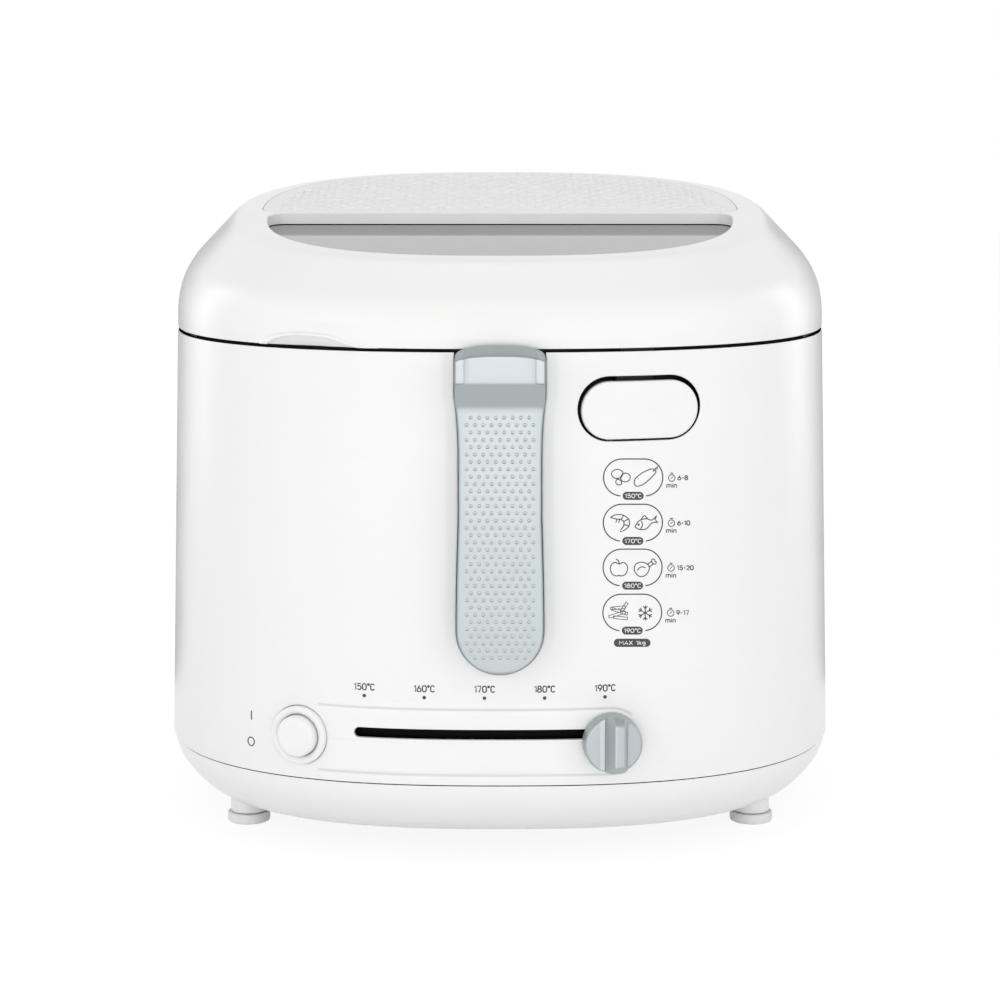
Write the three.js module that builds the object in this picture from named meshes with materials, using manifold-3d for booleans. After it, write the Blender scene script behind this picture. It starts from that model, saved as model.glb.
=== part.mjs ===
// Deep fryer with a hinged lid, a lift-out basket and a fold-down basket handle.
// Millimetres, +Z up, front towards -Y. The origin is on the table, under the middle of the body.

import * as THREE from 'three';
import { mergeVertices } from 'three/addons/utils/BufferGeometryUtils.js';
import Module from 'manifold-3d';

const wasm = await Module();
wasm.setup();

// ---------------------------------------------------------------- driving dimensions

// Plan outline: |x/a|^p + |y/b|^p = 1, wider than it is deep.
const outlinePower = 2.5;
const widthOverDepth = 22.9; // half width less half depth, the same at every height
const seamHalfWidth = 150.3; // at the base seam
const rimHalfWidth = 145.1; // at the lid seam
const underside = 10.3; // flat underside of the base, above the table
const baseSeam = 36;
const rimTop = 219; // top edge of the housing wall
const lidSeamGap = 1;
const lidHeight = 49.6; // lid edge to plateau, at mid depth
const lidSlope = 0.15; // the plateau climbs towards the back

const wall = 2.6; // moulded shells
const sheet = 1.2; // pressed metal
const fit = 0.3; // gap between seated pieces
const ringSides = 48; // facets round the large shells
const innerSides = 40; // facets round the shells inside them

// Base
const baseLip = 8; // rim that reaches up inside the housing
const baseEdge = 0.7; // the base's edge stands in from the wall above it
const baseTurn = [[1, 0.805], [3.4, 0.611], [7.6, 0.397], [12.6, 0.202], [18.1, 0.066], [24.6, 0]];
const baseInside = [[5.1, 0.74], [10.9, 0.351], [19.3, 0.091], [26.3, 0]];
const ventPitch = 8;
const ventWidth = 3;
const ventLength = 28;
const vents = 7;

// Bowl and basket
const bowlInset = 15.4; // from the rim's outer face
const bowlHalfWidth = rimHalfWidth - bowlInset; // outside, under the flange
const bowlTurn = 29.7; // the flat floor is narrower, each side
const bowlFoot = bowlHalfWidth - bowlTurn;
const bowlFloor = 60.6; // its underside
const bowlFlangeWidth = 7.3;
const bowlFlange = bowlHalfWidth + bowlFlangeWidth;
const ledgeDrop = 4; // below the rim
const ledgeTop = rimTop - ledgeDrop;
const ledgeThickness = 2.6;
const basketGap = 10.2; // from the bowl
const basketHalfWidth = bowlHalfWidth - basketGap;
const basketTaper = 10;
const basketFloor = 76;
const basketRim = 200;
const basketWall = 0.9;
const basketBead = 1.5;
const basketLegX = 70;
const basketLegY = 45;
const basketLegRadius = 2.5;

// Handle, folded against the front
const rimDepth = halfDepth(rimHalfWidth);
const pivotOut = 7.8; // in front of the rim
const pivotY = -rimDepth - pivotOut;
const pivotDrop = 5.2; // below the rim
const pivotZ = rimTop - pivotDrop;
const pinRadius = 2;
const pinClearance = 0.1; // both hinge pins, all round
const barrelRadius = 7.6;
const noseReach = 7; // the block's face, in front of the pivot
const handleFront = pivotY - noseReach;
const noseHeight = 10.8;
const noseLow = pivotZ - 8.2; // the block over the pivot
const noseTop = noseLow + noseHeight;
const crownRise = 5; // the top edge climbs to its middle
const thumbHollow = pivotY - 2.2; // deepest front of the grip, under the block
const gripFront = pivotY - 6; // near the lower end
const gripBack = pivotY + 6.4;
const gripHalfWidth = 17; // at the waist
const gripEndRadius = 18;
const gripDrop = 111.6; // from the pivot to the centre of the round lower end
const gripEndZ = pivotZ - gripDrop;
const waistLow = pivotZ - 63.8;
const waistHigh = pivotZ - 35.8;
const blockLow = pivotZ - 13.8; // the waist has widened to the cheeks here
const cheekOuter = 18.6; // half width over the bracket cheeks
const cheekThickness = 3;
const cheekRadius = 18;
const cheekRoom = 0.5; // turning gap round the cheeks
const fingerGap = 5.8; // behind the grip
const pocketFloor = gripBack + fingerGap; // recess in the housing behind the grip
const pocketMargin = 1.6; // recess wider than the handle, each side
const bossWall = 2.4; // round the recess
const bracketPocketFloor = pocketFloor + 4;
const bracketPlate = 2.2;
const bracketTop = rimTop - 0.1;
const hangerHalfWidth = 12;
const hangerDrop = 24; // below the basket rim

// Lid hinge
const hingeOut = 8.8; // behind the rim
const hingeY = rimDepth + hingeOut;
const hingeRise = 7;
const hingeZ = rimTop + hingeRise;
const hingeRadius = 6;
const hingePinRadius = 2.5;
const lugInner = 42;
const lugOuter = 53;
const knuckleInner = 29;
const knuckleGap = 0.5;

// Lid
const plateauPower = 2.65;
const plateauThickness = 5.2;
const plateauInset = 26.5; // from the lid's edge to the plateau's
const lidEdge = rimHalfWidth - 0.2;
const plateauHalfWidth = lidEdge - plateauInset;
const windowFrame = 13.9;
const windowFront = 7.5; // the frame is narrower at the front
const windowHalfWidth = plateauHalfWidth - windowFrame;
const windowDepth = halfDepth(plateauHalfWidth) - windowFront;
const windowBack = -1.5;
const windowCorner = 8;
const paneThickness = 2.5;
const paneOverlap = 3;
const filterFrame = 10.4;
const filterBackFrame = 5.5;
const filterHalfWidth = plateauHalfWidth - filterFrame;
const filterDepth = halfDepth(plateauHalfWidth) - filterBackFrame;
const filterCoverThickness = 2.9;
const filterLand = 6;
const filterRows = 4;
const filterSlotPitch = 20;
const filterSlotLength = 11;
const filterSlotWidth = 2.8;
const linerThickness = 2.4;
const linerTop = lidHeight - plateauThickness - paneThickness - 2 * fit;
const linerInset = 14.1; // its side wall, from the rim
const linerFlange = 8;
const lidScrewInset = 7.9; // from the plateau's edge
const lidScrewX = plateauHalfWidth - lidScrewInset;
const lidScrewY = 24;
const sealWidth = 5.6;
const sealInner = bowlHalfWidth + 0.9;

// Finger hollow in the lid's lower edge
const archX = -78.5;
const archHalfWidth = 20.5;
const archHeight = 6.4;
const archDepth = 1.3;

// Lid release: depths run inwards from the wall's outer face
const lidButtonX = 58;
const lidButtonZ = 195.2;
const lidButtonLength = 51.5;
const lidButtonHeight = 25.5;
const lidButtonGap = 0.8;
const lidButtonTravel = 2.5;
const catchThickness = 1.8;
const catchSeat = wall + fit + 1; // behind the lid's face
const catchDepth = catchSeat + halfWidthAt(lidButtonZ) - rimHalfWidth;
const catchHalfWidth = 7;
const catchHang = 5.3; // from the housing's top edge down
const catchWindow = 3.5; // height of the window that the nose faces
const noseThickness = 1.8;
const noseClear = 0.5; // behind the catch, so that the lid can pass
const latchPlate = 2.2;
const latchHalfWidth = 8;
const latchLow = -10; // below the middle of the button
const springWire = 0.35;
const latchSpringRadius = 3.4;
const latchSpringZ = -8.5;
const springLength = 2.4;

// Power button: depths as above
const powerX = -85;
const powerZ = 55;
const powerRadius = 8.9;
const powerFlange = 1.5;
const powerStem = 3;
const powerStandout = 5.5;
const powerBack = 9.6; // end of its stem
const powerTravel = 3;
const powerSpringRadius = 4.4;
const collarRadius = 12.6;
const collarStandout = 2.6;
const collarSeat = 0.9; // depth of the collar's back in the wall
const switchHalf = 8; // half height of the switch body

// Temperature slide
const slideZ = 58.2;
const slotHeight = 4;
const slotEndGap = 1.3;
const slideRestX = 46.5;
const slideEndX = -57;
const slideWall = halfWidthAt(slideZ);
const slideSag = halfDepth(slideWall) - ovalY(slideEndX, slideWall);
const slideRadius = (slideEndX ** 2 + slideSag ** 2) / (2 * slideSag); // its path's, about an upright axis
const stemWidth = 6;
const stemHeight = 3.2;
const knobZ = 55.2;
const knobRadius = 12.5;
const knobDisc = 4.4;
const knobBar = 8; // width of its grip bar
const knobStandout = 13;
const padHalf = 7;
const padGap = 1.47; // behind the wall, where the wall leans in most
const padThickness = 2.8;
const railThickness = 1.5;
const railHalfHeight = 8;
const slideLean = (halfWidthAt(slideZ - railHalfHeight) - halfWidthAt(slideZ + railHalfHeight)) / 2;
const padDepth = wall + padGap + Math.abs(slideLean); // of the pad's face, behind the wall's outer one

// Heater and what stands under the bowl
const elementRadius = 72;
const elementTube = 3.4; // tube radius
const shieldZ = 41;
const shieldHalfWidth = bowlFoot + 8;
const shieldRim = 4.2;
const studX = 45;
const studY = 30;
const studRadius = 4;
const screwRadius = 1.5;
const screwHead = 2.2;
const screwHeadRadius = 3.4;
const sensorRadius = 1.9;
const fuseRadius = 4;
const elementLegs = 11; // they reach past the ring
const elementLegDrop = 2.5;
const shelfZ = 43.2; // where the thermostat and the terminal block stand
const thermostatFront = 14.8; // behind the front wall's face
const thermostatY = thermostatFront - halfDepth(slideWall); // its front
const thermostatDepth = 20.4;
const thermostatLeft = -20;
const thermostatRight = 6;
const thermostatHeight = 12;
const terminalHalf = 24;
const elementEnds = 8; // the straight cold ends
const terminalFront = elementRadius + elementLegs + elementEnds + 1;
const terminalDepth = 12;
const terminalHeight = 14;

// Cord gland
const glandZ = 54;
const glandNeck = 6;
const glandFlange = 9.5;
const glandBore = 3.4;

// Feet
const footInset = 37.3; // from the seam's widest point
const footX = seamHalfWidth - footInset;
const footY = 52;
const footRadius = 9.5;
const footPad = 4.4;
const footStem = 8;

const past = 40; // how far a cutting shape runs past what it cuts

// ---------------------------------------------------------------- geometry helpers

/** Turns a closed three.js geometry into a solid that can be joined and cut. */
function solid(geometry) {
  const bare = geometry.index ? geometry.toNonIndexed() : geometry.clone();
  bare.deleteAttribute('normal');
  bare.deleteAttribute('uv');
  const merged = mergeVertices(bare, 1e-4);
  const index = merged.index.array;
  const triVerts = [];
  for (let i = 0; i < index.length; i += 3) {
    const [a, b, c] = index.subarray(i, i + 3);
    if (a !== b && b !== c && c !== a) triVerts.push(a, b, c);
  }
  const mesh = new wasm.Mesh({
    numProp: 3,
    vertProperties: Float32Array.from(merged.attributes.position.array),
    triVerts: Uint32Array.from(triVerts),
  });
  return new wasm.Manifold(mesh);
}

/** Gives a solid back as a three.js geometry. */
function geometryOf(body) {
  const mesh = body.getMesh();
  const geometry = new THREE.BufferGeometry();
  geometry.setAttribute('position', new THREE.BufferAttribute(mesh.vertProperties.slice(), 3));
  geometry.setIndex(new THREE.BufferAttribute(mesh.triVerts.slice(), 1));
  geometry.computeVertexNormals();
  return geometry;
}

function join(first, ...rest) {
  return geometryOf(rest.reduce((body, part) => body.add(solid(part)), solid(first)));
}

function cut(first, ...tools) {
  return geometryOf(tools.reduce((body, tool) => body.subtract(solid(tool)), solid(first)));
}

function overlap(first, second) {
  return geometryOf(solid(first).intersect(solid(second)));
}

/** Moves every vertex of a geometry by a rule that takes and returns a point. */
function reshape(geometry, rule) {
  const position = geometry.attributes.position;
  for (let i = 0; i < position.count; i += 1) {
    const point = rule(new THREE.Vector3().fromBufferAttribute(position, i));
    position.setXYZ(i, point.x, point.y, point.z);
  }
  geometry.computeVertexNormals();
  return geometry;
}

function box(x0, x1, y0, y1, z0, z1) {
  const block = new THREE.BoxGeometry(x1 - x0, y1 - y0, z1 - z0);
  return block.translate((x0 + x1) / 2, (y0 + y1) / 2, (z0 + z1) / 2);
}

/** A round bar along one axis, from one coordinate to another. */
function rod(axis, radius, from, to, centre, sides = 20) {
  const bar = new THREE.CylinderGeometry(radius, radius, to - from, sides);
  if (axis === 'x') bar.rotateZ(-Math.PI / 2).translate((from + to) / 2, centre[0], centre[1]);
  if (axis === 'y') bar.translate(centre[0], (from + to) / 2, centre[1]);
  if (axis === 'z') bar.rotateX(Math.PI / 2).translate(centre[0], centre[1], (from + to) / 2);
  return bar;
}

/** A round turned piece about the upright axis, from a closed profile of [radius, z]. */
function turned(profile, sides = 24) {
  const points = profile.map(([radius, z]) => new THREE.Vector2(radius, z));
  return new THREE.LatheGeometry(points, sides).rotateX(Math.PI / 2);
}

/** Half depth that goes with a half width; it closes to nothing on the axis. */
function halfDepth(halfWidth) {
  const flat = 60;
  return halfWidth - widthOverDepth * Math.min(1, halfWidth / flat);
}

/** Distance from the axis to an oval of the given half sizes, in one direction. */
function ovalReach(angle, a, b, power) {
  const across = Math.abs(Math.cos(angle) / a) ** power;
  const along = Math.abs(Math.sin(angle) / b) ** power;
  return (across + along) ** (-1 / power);
}

/** Depth (|y|) of an oval of this half width at a given x. */
function ovalY(x, halfWidth) {
  const rest = 1 - Math.abs(x / halfWidth) ** outlinePower;
  return halfDepth(halfWidth) * rest ** (1 / outlinePower);
}

/** A shell that follows the body's outline, from a closed profile of [half width, z]. */
function ovalShell(profile, sides = ringSides, power = outlinePower) {
  return reshape(turned(profile, sides), (point) => {
    const halfWidth = Math.hypot(point.x, point.y);
    if (halfWidth < 1e-6) return point.set(0, 0, point.z);
    const angle = Math.atan2(point.y, point.x);
    const reach = ovalReach(angle, halfWidth, halfDepth(halfWidth), power);
    return point.set(reach * Math.cos(angle), reach * Math.sin(angle), point.z);
  });
}

/** A flat plate of a shape drawn in X and Y, between two heights. */
function plate(shape, z0, z1, curveSegments = 6) {
  const settings = { depth: z1 - z0, bevelEnabled: false, curveSegments };
  return new THREE.ExtrudeGeometry(shape, settings).translate(0, 0, z0);
}

/** A plate of a shape drawn in X and Z, between two depths. */
function frontPlate(shape, y0, y1, curveSegments = 6) {
  return plate(shape, -y1, -y0, curveSegments).rotateX(Math.PI / 2);
}

/** A plate of a shape drawn in Y and Z, between two x. */
function sidePlate(shape, x0, x1, curveSegments = 6) {
  const turn = new THREE.Matrix4().makeBasis(
    new THREE.Vector3(0, 1, 0),
    new THREE.Vector3(0, 0, 1),
    new THREE.Vector3(1, 0, 0),
  );
  return plate(shape, x0, x1, curveSegments).applyMatrix4(turn);
}

/** A tube along a smooth curve through the points. */
function tube(points, radius, steps, sides = 8) {
  const section = new THREE.Shape();
  section.absarc(0, 0, radius, 0, 2 * Math.PI);
  const extrudePath = new THREE.CatmullRomCurve3(points.map((p) => new THREE.Vector3(...p)));
  const settings = { steps, extrudePath, bevelEnabled: false, curveSegments: sides / 2 };
  return new THREE.ExtrudeGeometry(section, settings);
}

/** The two ends of a span that lies at one side of the middle, in rising order. */
function span(side, near, far) {
  return side > 0 ? [near, far] : [-far, -near];
}

/** One item for each of the four corners. */
function corners(x, y, make) {
  return [-1, 1].flatMap((sx) => [-1, 1].map((sy) => make([sx * x, sy * y])));
}

/** A slot outline with round ends, lying along x, round a centre. */
function stadium(length, height, x = 0, y = 0) {
  const shape = new THREE.Shape();
  const radius = height / 2;
  const straight = length / 2 - radius;
  shape.absarc(x + straight, y, radius, -Math.PI / 2, Math.PI / 2);
  shape.absarc(x - straight, y, radius, Math.PI / 2, 1.5 * Math.PI);
  shape.closePath();
  return shape;
}

/**
 * One half of the plateau oval: a straight edge at y0 with rounded corners, and the oval's
 * arc on the side that the sign gives.
 */
function halfOval(halfWidth, depth, y0, side, corner) {
  const shape = new THREE.Shape();
  const reachAt = (y) => halfWidth * (1 - Math.abs(y / depth) ** plateauPower) ** (1 / plateauPower);
  const start = y0 + side * corner;
  const first = Math.asin(Math.abs(start) / depth);
  const facets = 24;
  shape.moveTo(-(reachAt(start) - corner), y0);
  shape.lineTo(reachAt(start) - corner, y0);
  shape.quadraticCurveTo(reachAt(start), y0, reachAt(start), start);
  for (let i = 1; i < facets; i += 1) {
    const angle = first + ((Math.PI - 2 * first) * i) / facets;
    const reach = ovalReach(angle, halfWidth, depth, plateauPower);
    shape.lineTo(reach * Math.cos(angle), side * reach * Math.sin(angle));
  }
  shape.lineTo(-reachAt(start), start);
  shape.quadraticCurveTo(-reachAt(start), y0, -(reachAt(start) - corner), y0);
  return shape;
}

/** Sets lid heights, measured from the lid's lower edge, on the plateau's slope. */
function tilted(geometry) {
  const edge = rimTop + lidSeamGap;
  return reshape(geometry, (point) => {
    const lift = point.z > 0 ? 1 + (lidSlope / lidHeight) * point.y : 1;
    return point.set(point.x, point.y, edge + point.z * lift);
  });
}

// ---------------------------------------------------------------- places on the front wall

function halfWidthAt(z) {
  const share = (z - baseSeam) / (rimTop - baseSeam);
  return seamHalfWidth + share * (rimHalfWidth - seamHalfWidth);
}

/** The point on the front wall at x and z, and the turn about Z that faces outwards there. */
function frontPlace(x, z) {
  const a = halfWidthAt(z);
  const b = halfDepth(a);
  const y = -ovalY(x, a);
  const nx = (Math.sign(x) * Math.abs(x / a) ** (outlinePower - 1)) / a;
  const ny = Math.abs(y / b) ** (outlinePower - 1) / b;
  return { x, y, z, turn: Math.atan2(nx, ny) };
}

/** Carries a geometry made about a local origin, facing -Y, to a place on the front wall. */
function set(geometry, place) {
  return geometry.rotateZ(place.turn).translate(place.x, place.y, place.z);
}

const lidButtonPlace = frontPlace(lidButtonX, lidButtonZ);
const powerPlace = frontPlace(powerX, powerZ);
const slideCentreY = slideRadius - halfDepth(halfWidthAt(slideZ));

function slidePlace(x) {
  const y = slideCentreY - Math.sqrt(slideRadius ** 2 - x ** 2);
  return { x, y, z: slideZ, turn: Math.asin(x / slideRadius) };
}

// ---------------------------------------------------------------- materials

function finish(color, roughness, metalness = 0) {
  return new THREE.MeshStandardMaterial({ color, roughness, metalness });
}

const white = finish(0xf1f1f0, 0.4);
const grey = finish(0xc3cacd, 0.5);
const darkPlastic = finish(0x2a2b2c, 0.6);
const coatedMetal = finish(0x3a3a3c, 0.5, 0.4);
const steel = finish(0xb9bcbe, 0.3, 1);
const smoked = finish(0x8f9192, 0.1);
const rubber = finish(0xd9dadb, 0.8);
const foam = finish(0x3c3c3c, 0.95);
const brown = finish(0x8c5a3c, 0.6);

const fryer = new THREE.Group();

function add(name, geometry, material) {
  const mesh = new THREE.Mesh(geometry, material);
  mesh.name = name;
  fryer.add(mesh);
  return mesh;
}

// ---------------------------------------------------------------- handle outlines

/** Front view of the folded handle, grown by a margin: narrow waist, round lower end. */
function handleFrontShape(margin = 0) {
  const shape = new THREE.Shape();
  const top = cheekOuter + margin;
  const side = pivotZ + 3.2; // where the crown starts
  const crown = side + crownRise + margin;
  const end = gripEndRadius + margin;
  const waist = gripHalfWidth + margin;
  const widening = (waistHigh + blockLow) / 2 + 3;
  const narrowing = (gripEndZ + waistLow) / 2 - 6;
  shape.absarc(0, gripEndZ, end, Math.PI, 2 * Math.PI);
  shape.quadraticCurveTo(end, narrowing, waist, waistLow);
  shape.lineTo(waist, waistHigh);
  shape.quadraticCurveTo(waist + 0.2, widening, top, blockLow);
  shape.lineTo(top, side);
  shape.quadraticCurveTo(top - 1, crown, 0, crown);
  shape.quadraticCurveTo(1 - top, crown, -top, side);
  shape.lineTo(-top, blockLow);
  shape.quadraticCurveTo(-waist - 0.2, widening, -waist, waistHigh);
  shape.lineTo(-waist, waistLow);
  shape.quadraticCurveTo(-end, narrowing, -end, gripEndZ);
  return shape;
}

/** Side view of the handle: a barrel round the pivot pin, a thumb hollow and the long grip. */
function handleSideShape() {
  const shape = new THREE.Shape();
  const lowEnd = gripEndZ - gripEndRadius;
  const round = 1.2; // upper front corner
  const blend = 5.6; // height of the turn from the hollow to the block
  shape.moveTo(handleFront, noseLow);
  shape.lineTo(handleFront, noseTop);
  shape.quadraticCurveTo(handleFront, noseTop + round, handleFront + round, noseTop + 1.6);
  shape.lineTo(pivotY - 1.5, pivotZ + barrelRadius);
  shape.absarc(pivotY, pivotZ, barrelRadius, Math.PI / 2, 0, true);
  shape.lineTo(pivotY + barrelRadius, blockLow - 4);
  shape.lineTo(gripBack, waistLow + 10);
  shape.lineTo(gripBack - 0.8, lowEnd + 26);
  shape.quadraticCurveTo(gripBack - 1, lowEnd, gripBack - 5.4, lowEnd);
  shape.quadraticCurveTo(gripFront + 0.4, lowEnd, gripFront, gripEndZ + 2);
  shape.quadraticCurveTo(gripFront + 1.4, waistLow, thumbHollow, noseLow - 2 * blend);
  shape.quadraticCurveTo(thumbHollow - 1.2, noseLow - blend, handleFront, noseLow);
  return shape;
}

function handleEnvelope() {
  const front = frontPlate(handleFrontShape(), handleFront - past, pocketFloor, 10);
  return overlap(front, sidePlate(handleSideShape(), -past, past, 8));
}

// ---------------------------------------------------------------- housing and base

/** The moulded wall with its ledge for the bowl, before anything is cut from it. */
function housingShell() {
  const low = baseSeam + fit;
  const face = (z) => halfWidthAt(z) - wall;
  const ledgeLow = ledgeTop - ledgeThickness;
  const ledgeEdge = bowlHalfWidth + fit + 0.5;
  return ovalShell([
    [halfWidthAt(low), low], [rimHalfWidth, rimTop], [rimHalfWidth - wall, rimTop],
    [face(ledgeTop), ledgeTop], [ledgeEdge, ledgeTop], [ledgeEdge, ledgeLow],
    [face(ledgeLow), ledgeLow], [face(low), low], [halfWidthAt(low), low],
  ]);
}

/** The shell with the recess that the folded handle and its bracket lie in. */
function housingWithPocket() {
  const bossTop = ledgeTop - fit - 0.1;
  const front = handleFront - past;
  const face = (z) => halfWidthAt(z) - wall / 2; // the bosses start inside the wall
  const core = ovalShell([[0, baseSeam], [face(baseSeam), baseSeam], [face(bossTop), bossTop], [0, bossTop]]);
  const gripBoss = overlap(
    frontPlate(handleFrontShape(pocketMargin + bossWall), front, pocketFloor + bossWall), core,
  );
  const half = cheekOuter + pocketMargin;
  const bracketLow = pivotZ - cheekRadius - pocketMargin;
  const outer = half + bossWall;
  const bracketBoss = overlap(
    box(-outer, outer, front, bracketPocketFloor + bossWall, bracketLow - bossWall, bossTop), core,
  );
  const pocket = frontPlate(handleFrontShape(pocketMargin), front, pocketFloor);
  const bracketPocket = box(-half, half, front, bracketPocketFloor, bracketLow, rimTop + past);
  return cut(join(housingShell(), gripBoss, bracketBoss), pocket, bracketPocket);
}

/** The openings for the buttons, the catch, the slide and the cord gland. */
function housingOpenings() {
  const through = 20;
  const button = frontPlate(
    stadium(lidButtonLength + 2 * lidButtonGap, lidButtonHeight + 2 * lidButtonGap), -through, 12,
  );
  const room = catchHalfWidth + 2;
  const ledgeLow = ledgeTop - ledgeThickness;
  const catchHole = box(
    -room, room, catchDepth - 1, catchDepth + 3, ledgeLow - 1 - lidButtonZ, rimTop + 1 - lidButtonZ,
  );
  const power = rod('y', powerRadius + fit, -through, 12, [0, 0], 28);
  const collar = rod('y', collarRadius + fit, -through, collarSeat + fit, [0, 0], 28);
  const left = slideEndX - stemWidth / 2 - slotEndGap;
  const right = slideRestX + stemWidth / 2 + slotEndGap;
  const slotShape = stadium(right - left, slotHeight, (left + right) / 2, slideZ);
  const gland = rod('y', glandNeck + fit, hingeY - past, hingeY + past, [0, glandZ], 24);
  return [
    set(button, lidButtonPlace), set(catchHole, lidButtonPlace), set(power, powerPlace),
    set(collar, powerPlace), frontPlate(slotShape, handleFront, handleFront + past, 8), gland,
  ];
}

function housing() {
  const rear = halfDepth(rimHalfWidth) + 1.8; // the lugs stand clear of the lid's edge
  const root = ovalY(lugOuter, rimHalfWidth) - wall / 2;
  const lugLow = rimTop - 20;
  const lugs = [-1, 1].flatMap((side) => {
    const [x0, x1] = span(side, lugInner, lugOuter);
    return [
      rod('x', hingeRadius, x0, x1, [hingeY, hingeZ]),
      box(x0, x1, rear, hingeY + hingeRadius, lugLow, hingeZ),
      box(x0, x1, root, rear + 1, lugLow, rimTop - 1),
    ];
  });
  const pinBore = hingePinRadius + pinClearance;
  const bore = rod('x', pinBore, -lugOuter - 1, lugOuter + 1, [hingeY, hingeZ]);
  return cut(join(cut(housingWithPocket(), ...housingOpenings()), ...lugs), bore);
}

/** The pan under the body, with posts for screws, feet and the parts that stand on it. */
function base() {
  const lipTop = baseSeam + baseLip;
  const lip = halfWidthAt(baseSeam) - wall - fit - 0.2;
  const floor = underside + wall;
  const edge = seamHalfWidth - baseEdge;
  const outside = baseTurn.map(([inset, share]) => (
    [edge - inset, underside + share * (baseSeam - underside)]
  ));
  const within = baseInside.map(([inset, share]) => (
    [seamHalfWidth - inset, floor + share * (baseSeam - floor)]
  ));
  const pan = ovalShell([
    [0, underside], ...outside.toReversed(), [edge, baseSeam], [lip, baseSeam], [lip, lipTop],
    [lip - wall, lipTop], ...within, [0, floor],
  ]);
  const sunk = 1; // posts start inside the pan's wall
  const room = ovalShell([
    [0, floor - sunk], ...within.toReversed().map(([reach, z]) => [reach + sunk, z - sunk]),
    [lip - wall / 2, lipTop], [0, bowlFloor], [0, floor - sunk],
  ]);
  const seats = [
    box(thermostatLeft, thermostatRight, thermostatY + 3, thermostatY + 14, 0, shelfZ - fit),
    box(-14, 14, terminalFront + 1, terminalFront + terminalDepth - 1, 0, shelfZ - fit),
    set(box(-9, 9, 14, 22, -powerZ, -switchHalf - fit), powerPlace),
  ];
  const posts = [
    ...corners(studX, studY, (at) => rod('z', 6.5, floor - sunk, shieldZ - fit, at, 12)),
    ...corners(footX, footY, (at) => rod('z', footStem, footPad + fit, floor + 2, at, 16)),
    ...seats.map((seat) => overlap(seat, room)),
  ];
  const headRoom = screwHeadRadius + fit + 0.3;
  const holes = [
    ...corners(studX, studY, (at) => rod('z', screwRadius + fit, 0, shieldZ + 1, at, 8)),
    ...corners(studX, studY, (at) => rod('z', headRoom, 0, floor + 3.4, at, 12)),
    ...corners(footX, footY, (at) => rod('z', footStem / 2 + fit, 0, floor - sunk, at, 12)),
  ];
  for (let i = 0; i < vents; i += 1) {
    const x = (i - (vents - 1) / 2) * ventPitch;
    const [half, reach] = [ventWidth / 2, ventLength / 2];
    holes.push(box(x - half, x + half, -reach, reach, 0, floor + 5));
  }
  return cut(join(pan, ...posts), ...holes);
}

function foot() {
  const neck = footStem / 2;
  const round = 0.8;
  return turned([
    [0, 0], [footRadius - round, 0], [footRadius, round], [footRadius, footPad], [neck, footPad],
    [neck, underside + 1], [0, underside + 1],
  ], 16);
}

function screw(length) {
  return turned([
    [0, 0], [screwHeadRadius - 0.2, 0], [screwHeadRadius, 0.6], [screwHeadRadius, screwHead],
    [screwRadius, screwHead], [screwRadius, length], [0, length],
  ], 10);
}

// ---------------------------------------------------------------- bowl, basket and heater

function bowl() {
  const low = bowlHalfWidth - 10;
  const bend = bowlFloor + 15;
  const side = bowlFloor + 29;
  const flange = ledgeTop + fit;
  const shell = ovalShell([
    [0, bowlFloor], [bowlFoot, bowlFloor], [bowlFoot + 11, bowlFloor + 5], [low - 2, bend],
    [low, side], [bowlHalfWidth, flange], [bowlFlange, flange], [bowlFlange, flange + sheet],
    [bowlHalfWidth - sheet, flange + sheet], [low - sheet, side], [low - 2 - sheet, bend + 1],
    [bowlFoot + 10, bowlFloor + 6.4], [bowlFoot - 0.6, bowlFloor + sheet], [0, bowlFloor + sheet],
  ], innerSides);
  const foot = shieldZ + sheet + fit;
  const studs = corners(studX, studY, (at) => rod('z', studRadius, foot, bowlFloor + sheet / 2, at, 12));
  const bores = corners(studX, studY, (at) => rod('z', screwRadius + fit, 0, bowlFloor - 1, at, 8));
  return cut(join(shell, ...studs), ...bores);
}

function basket() {
  const low = basketHalfWidth - basketTaper;
  const bead = basketHalfWidth + basketBead;
  const corner = 5;
  const tub = ovalShell([
    [0, basketFloor], [low - corner, basketFloor], [low, basketFloor + corner],
    [basketHalfWidth, basketRim - 2 * basketBead], [bead, basketRim - 2 * basketBead],
    [bead, basketRim], [basketHalfWidth - basketWall, basketRim],
    [low - basketWall, basketFloor + corner + 0.4],
    [low - corner - 0.4, basketFloor + basketWall], [0, basketFloor + basketWall],
  ], innerSides);
  const legFoot = bowlFloor + sheet + fit;
  const legs = corners(basketLegX, basketLegY, (at) => (
    rod('z', basketLegRadius, legFoot, basketFloor + basketWall / 2, at, 10)
  ));
  return join(tub, ...legs);
}

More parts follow.
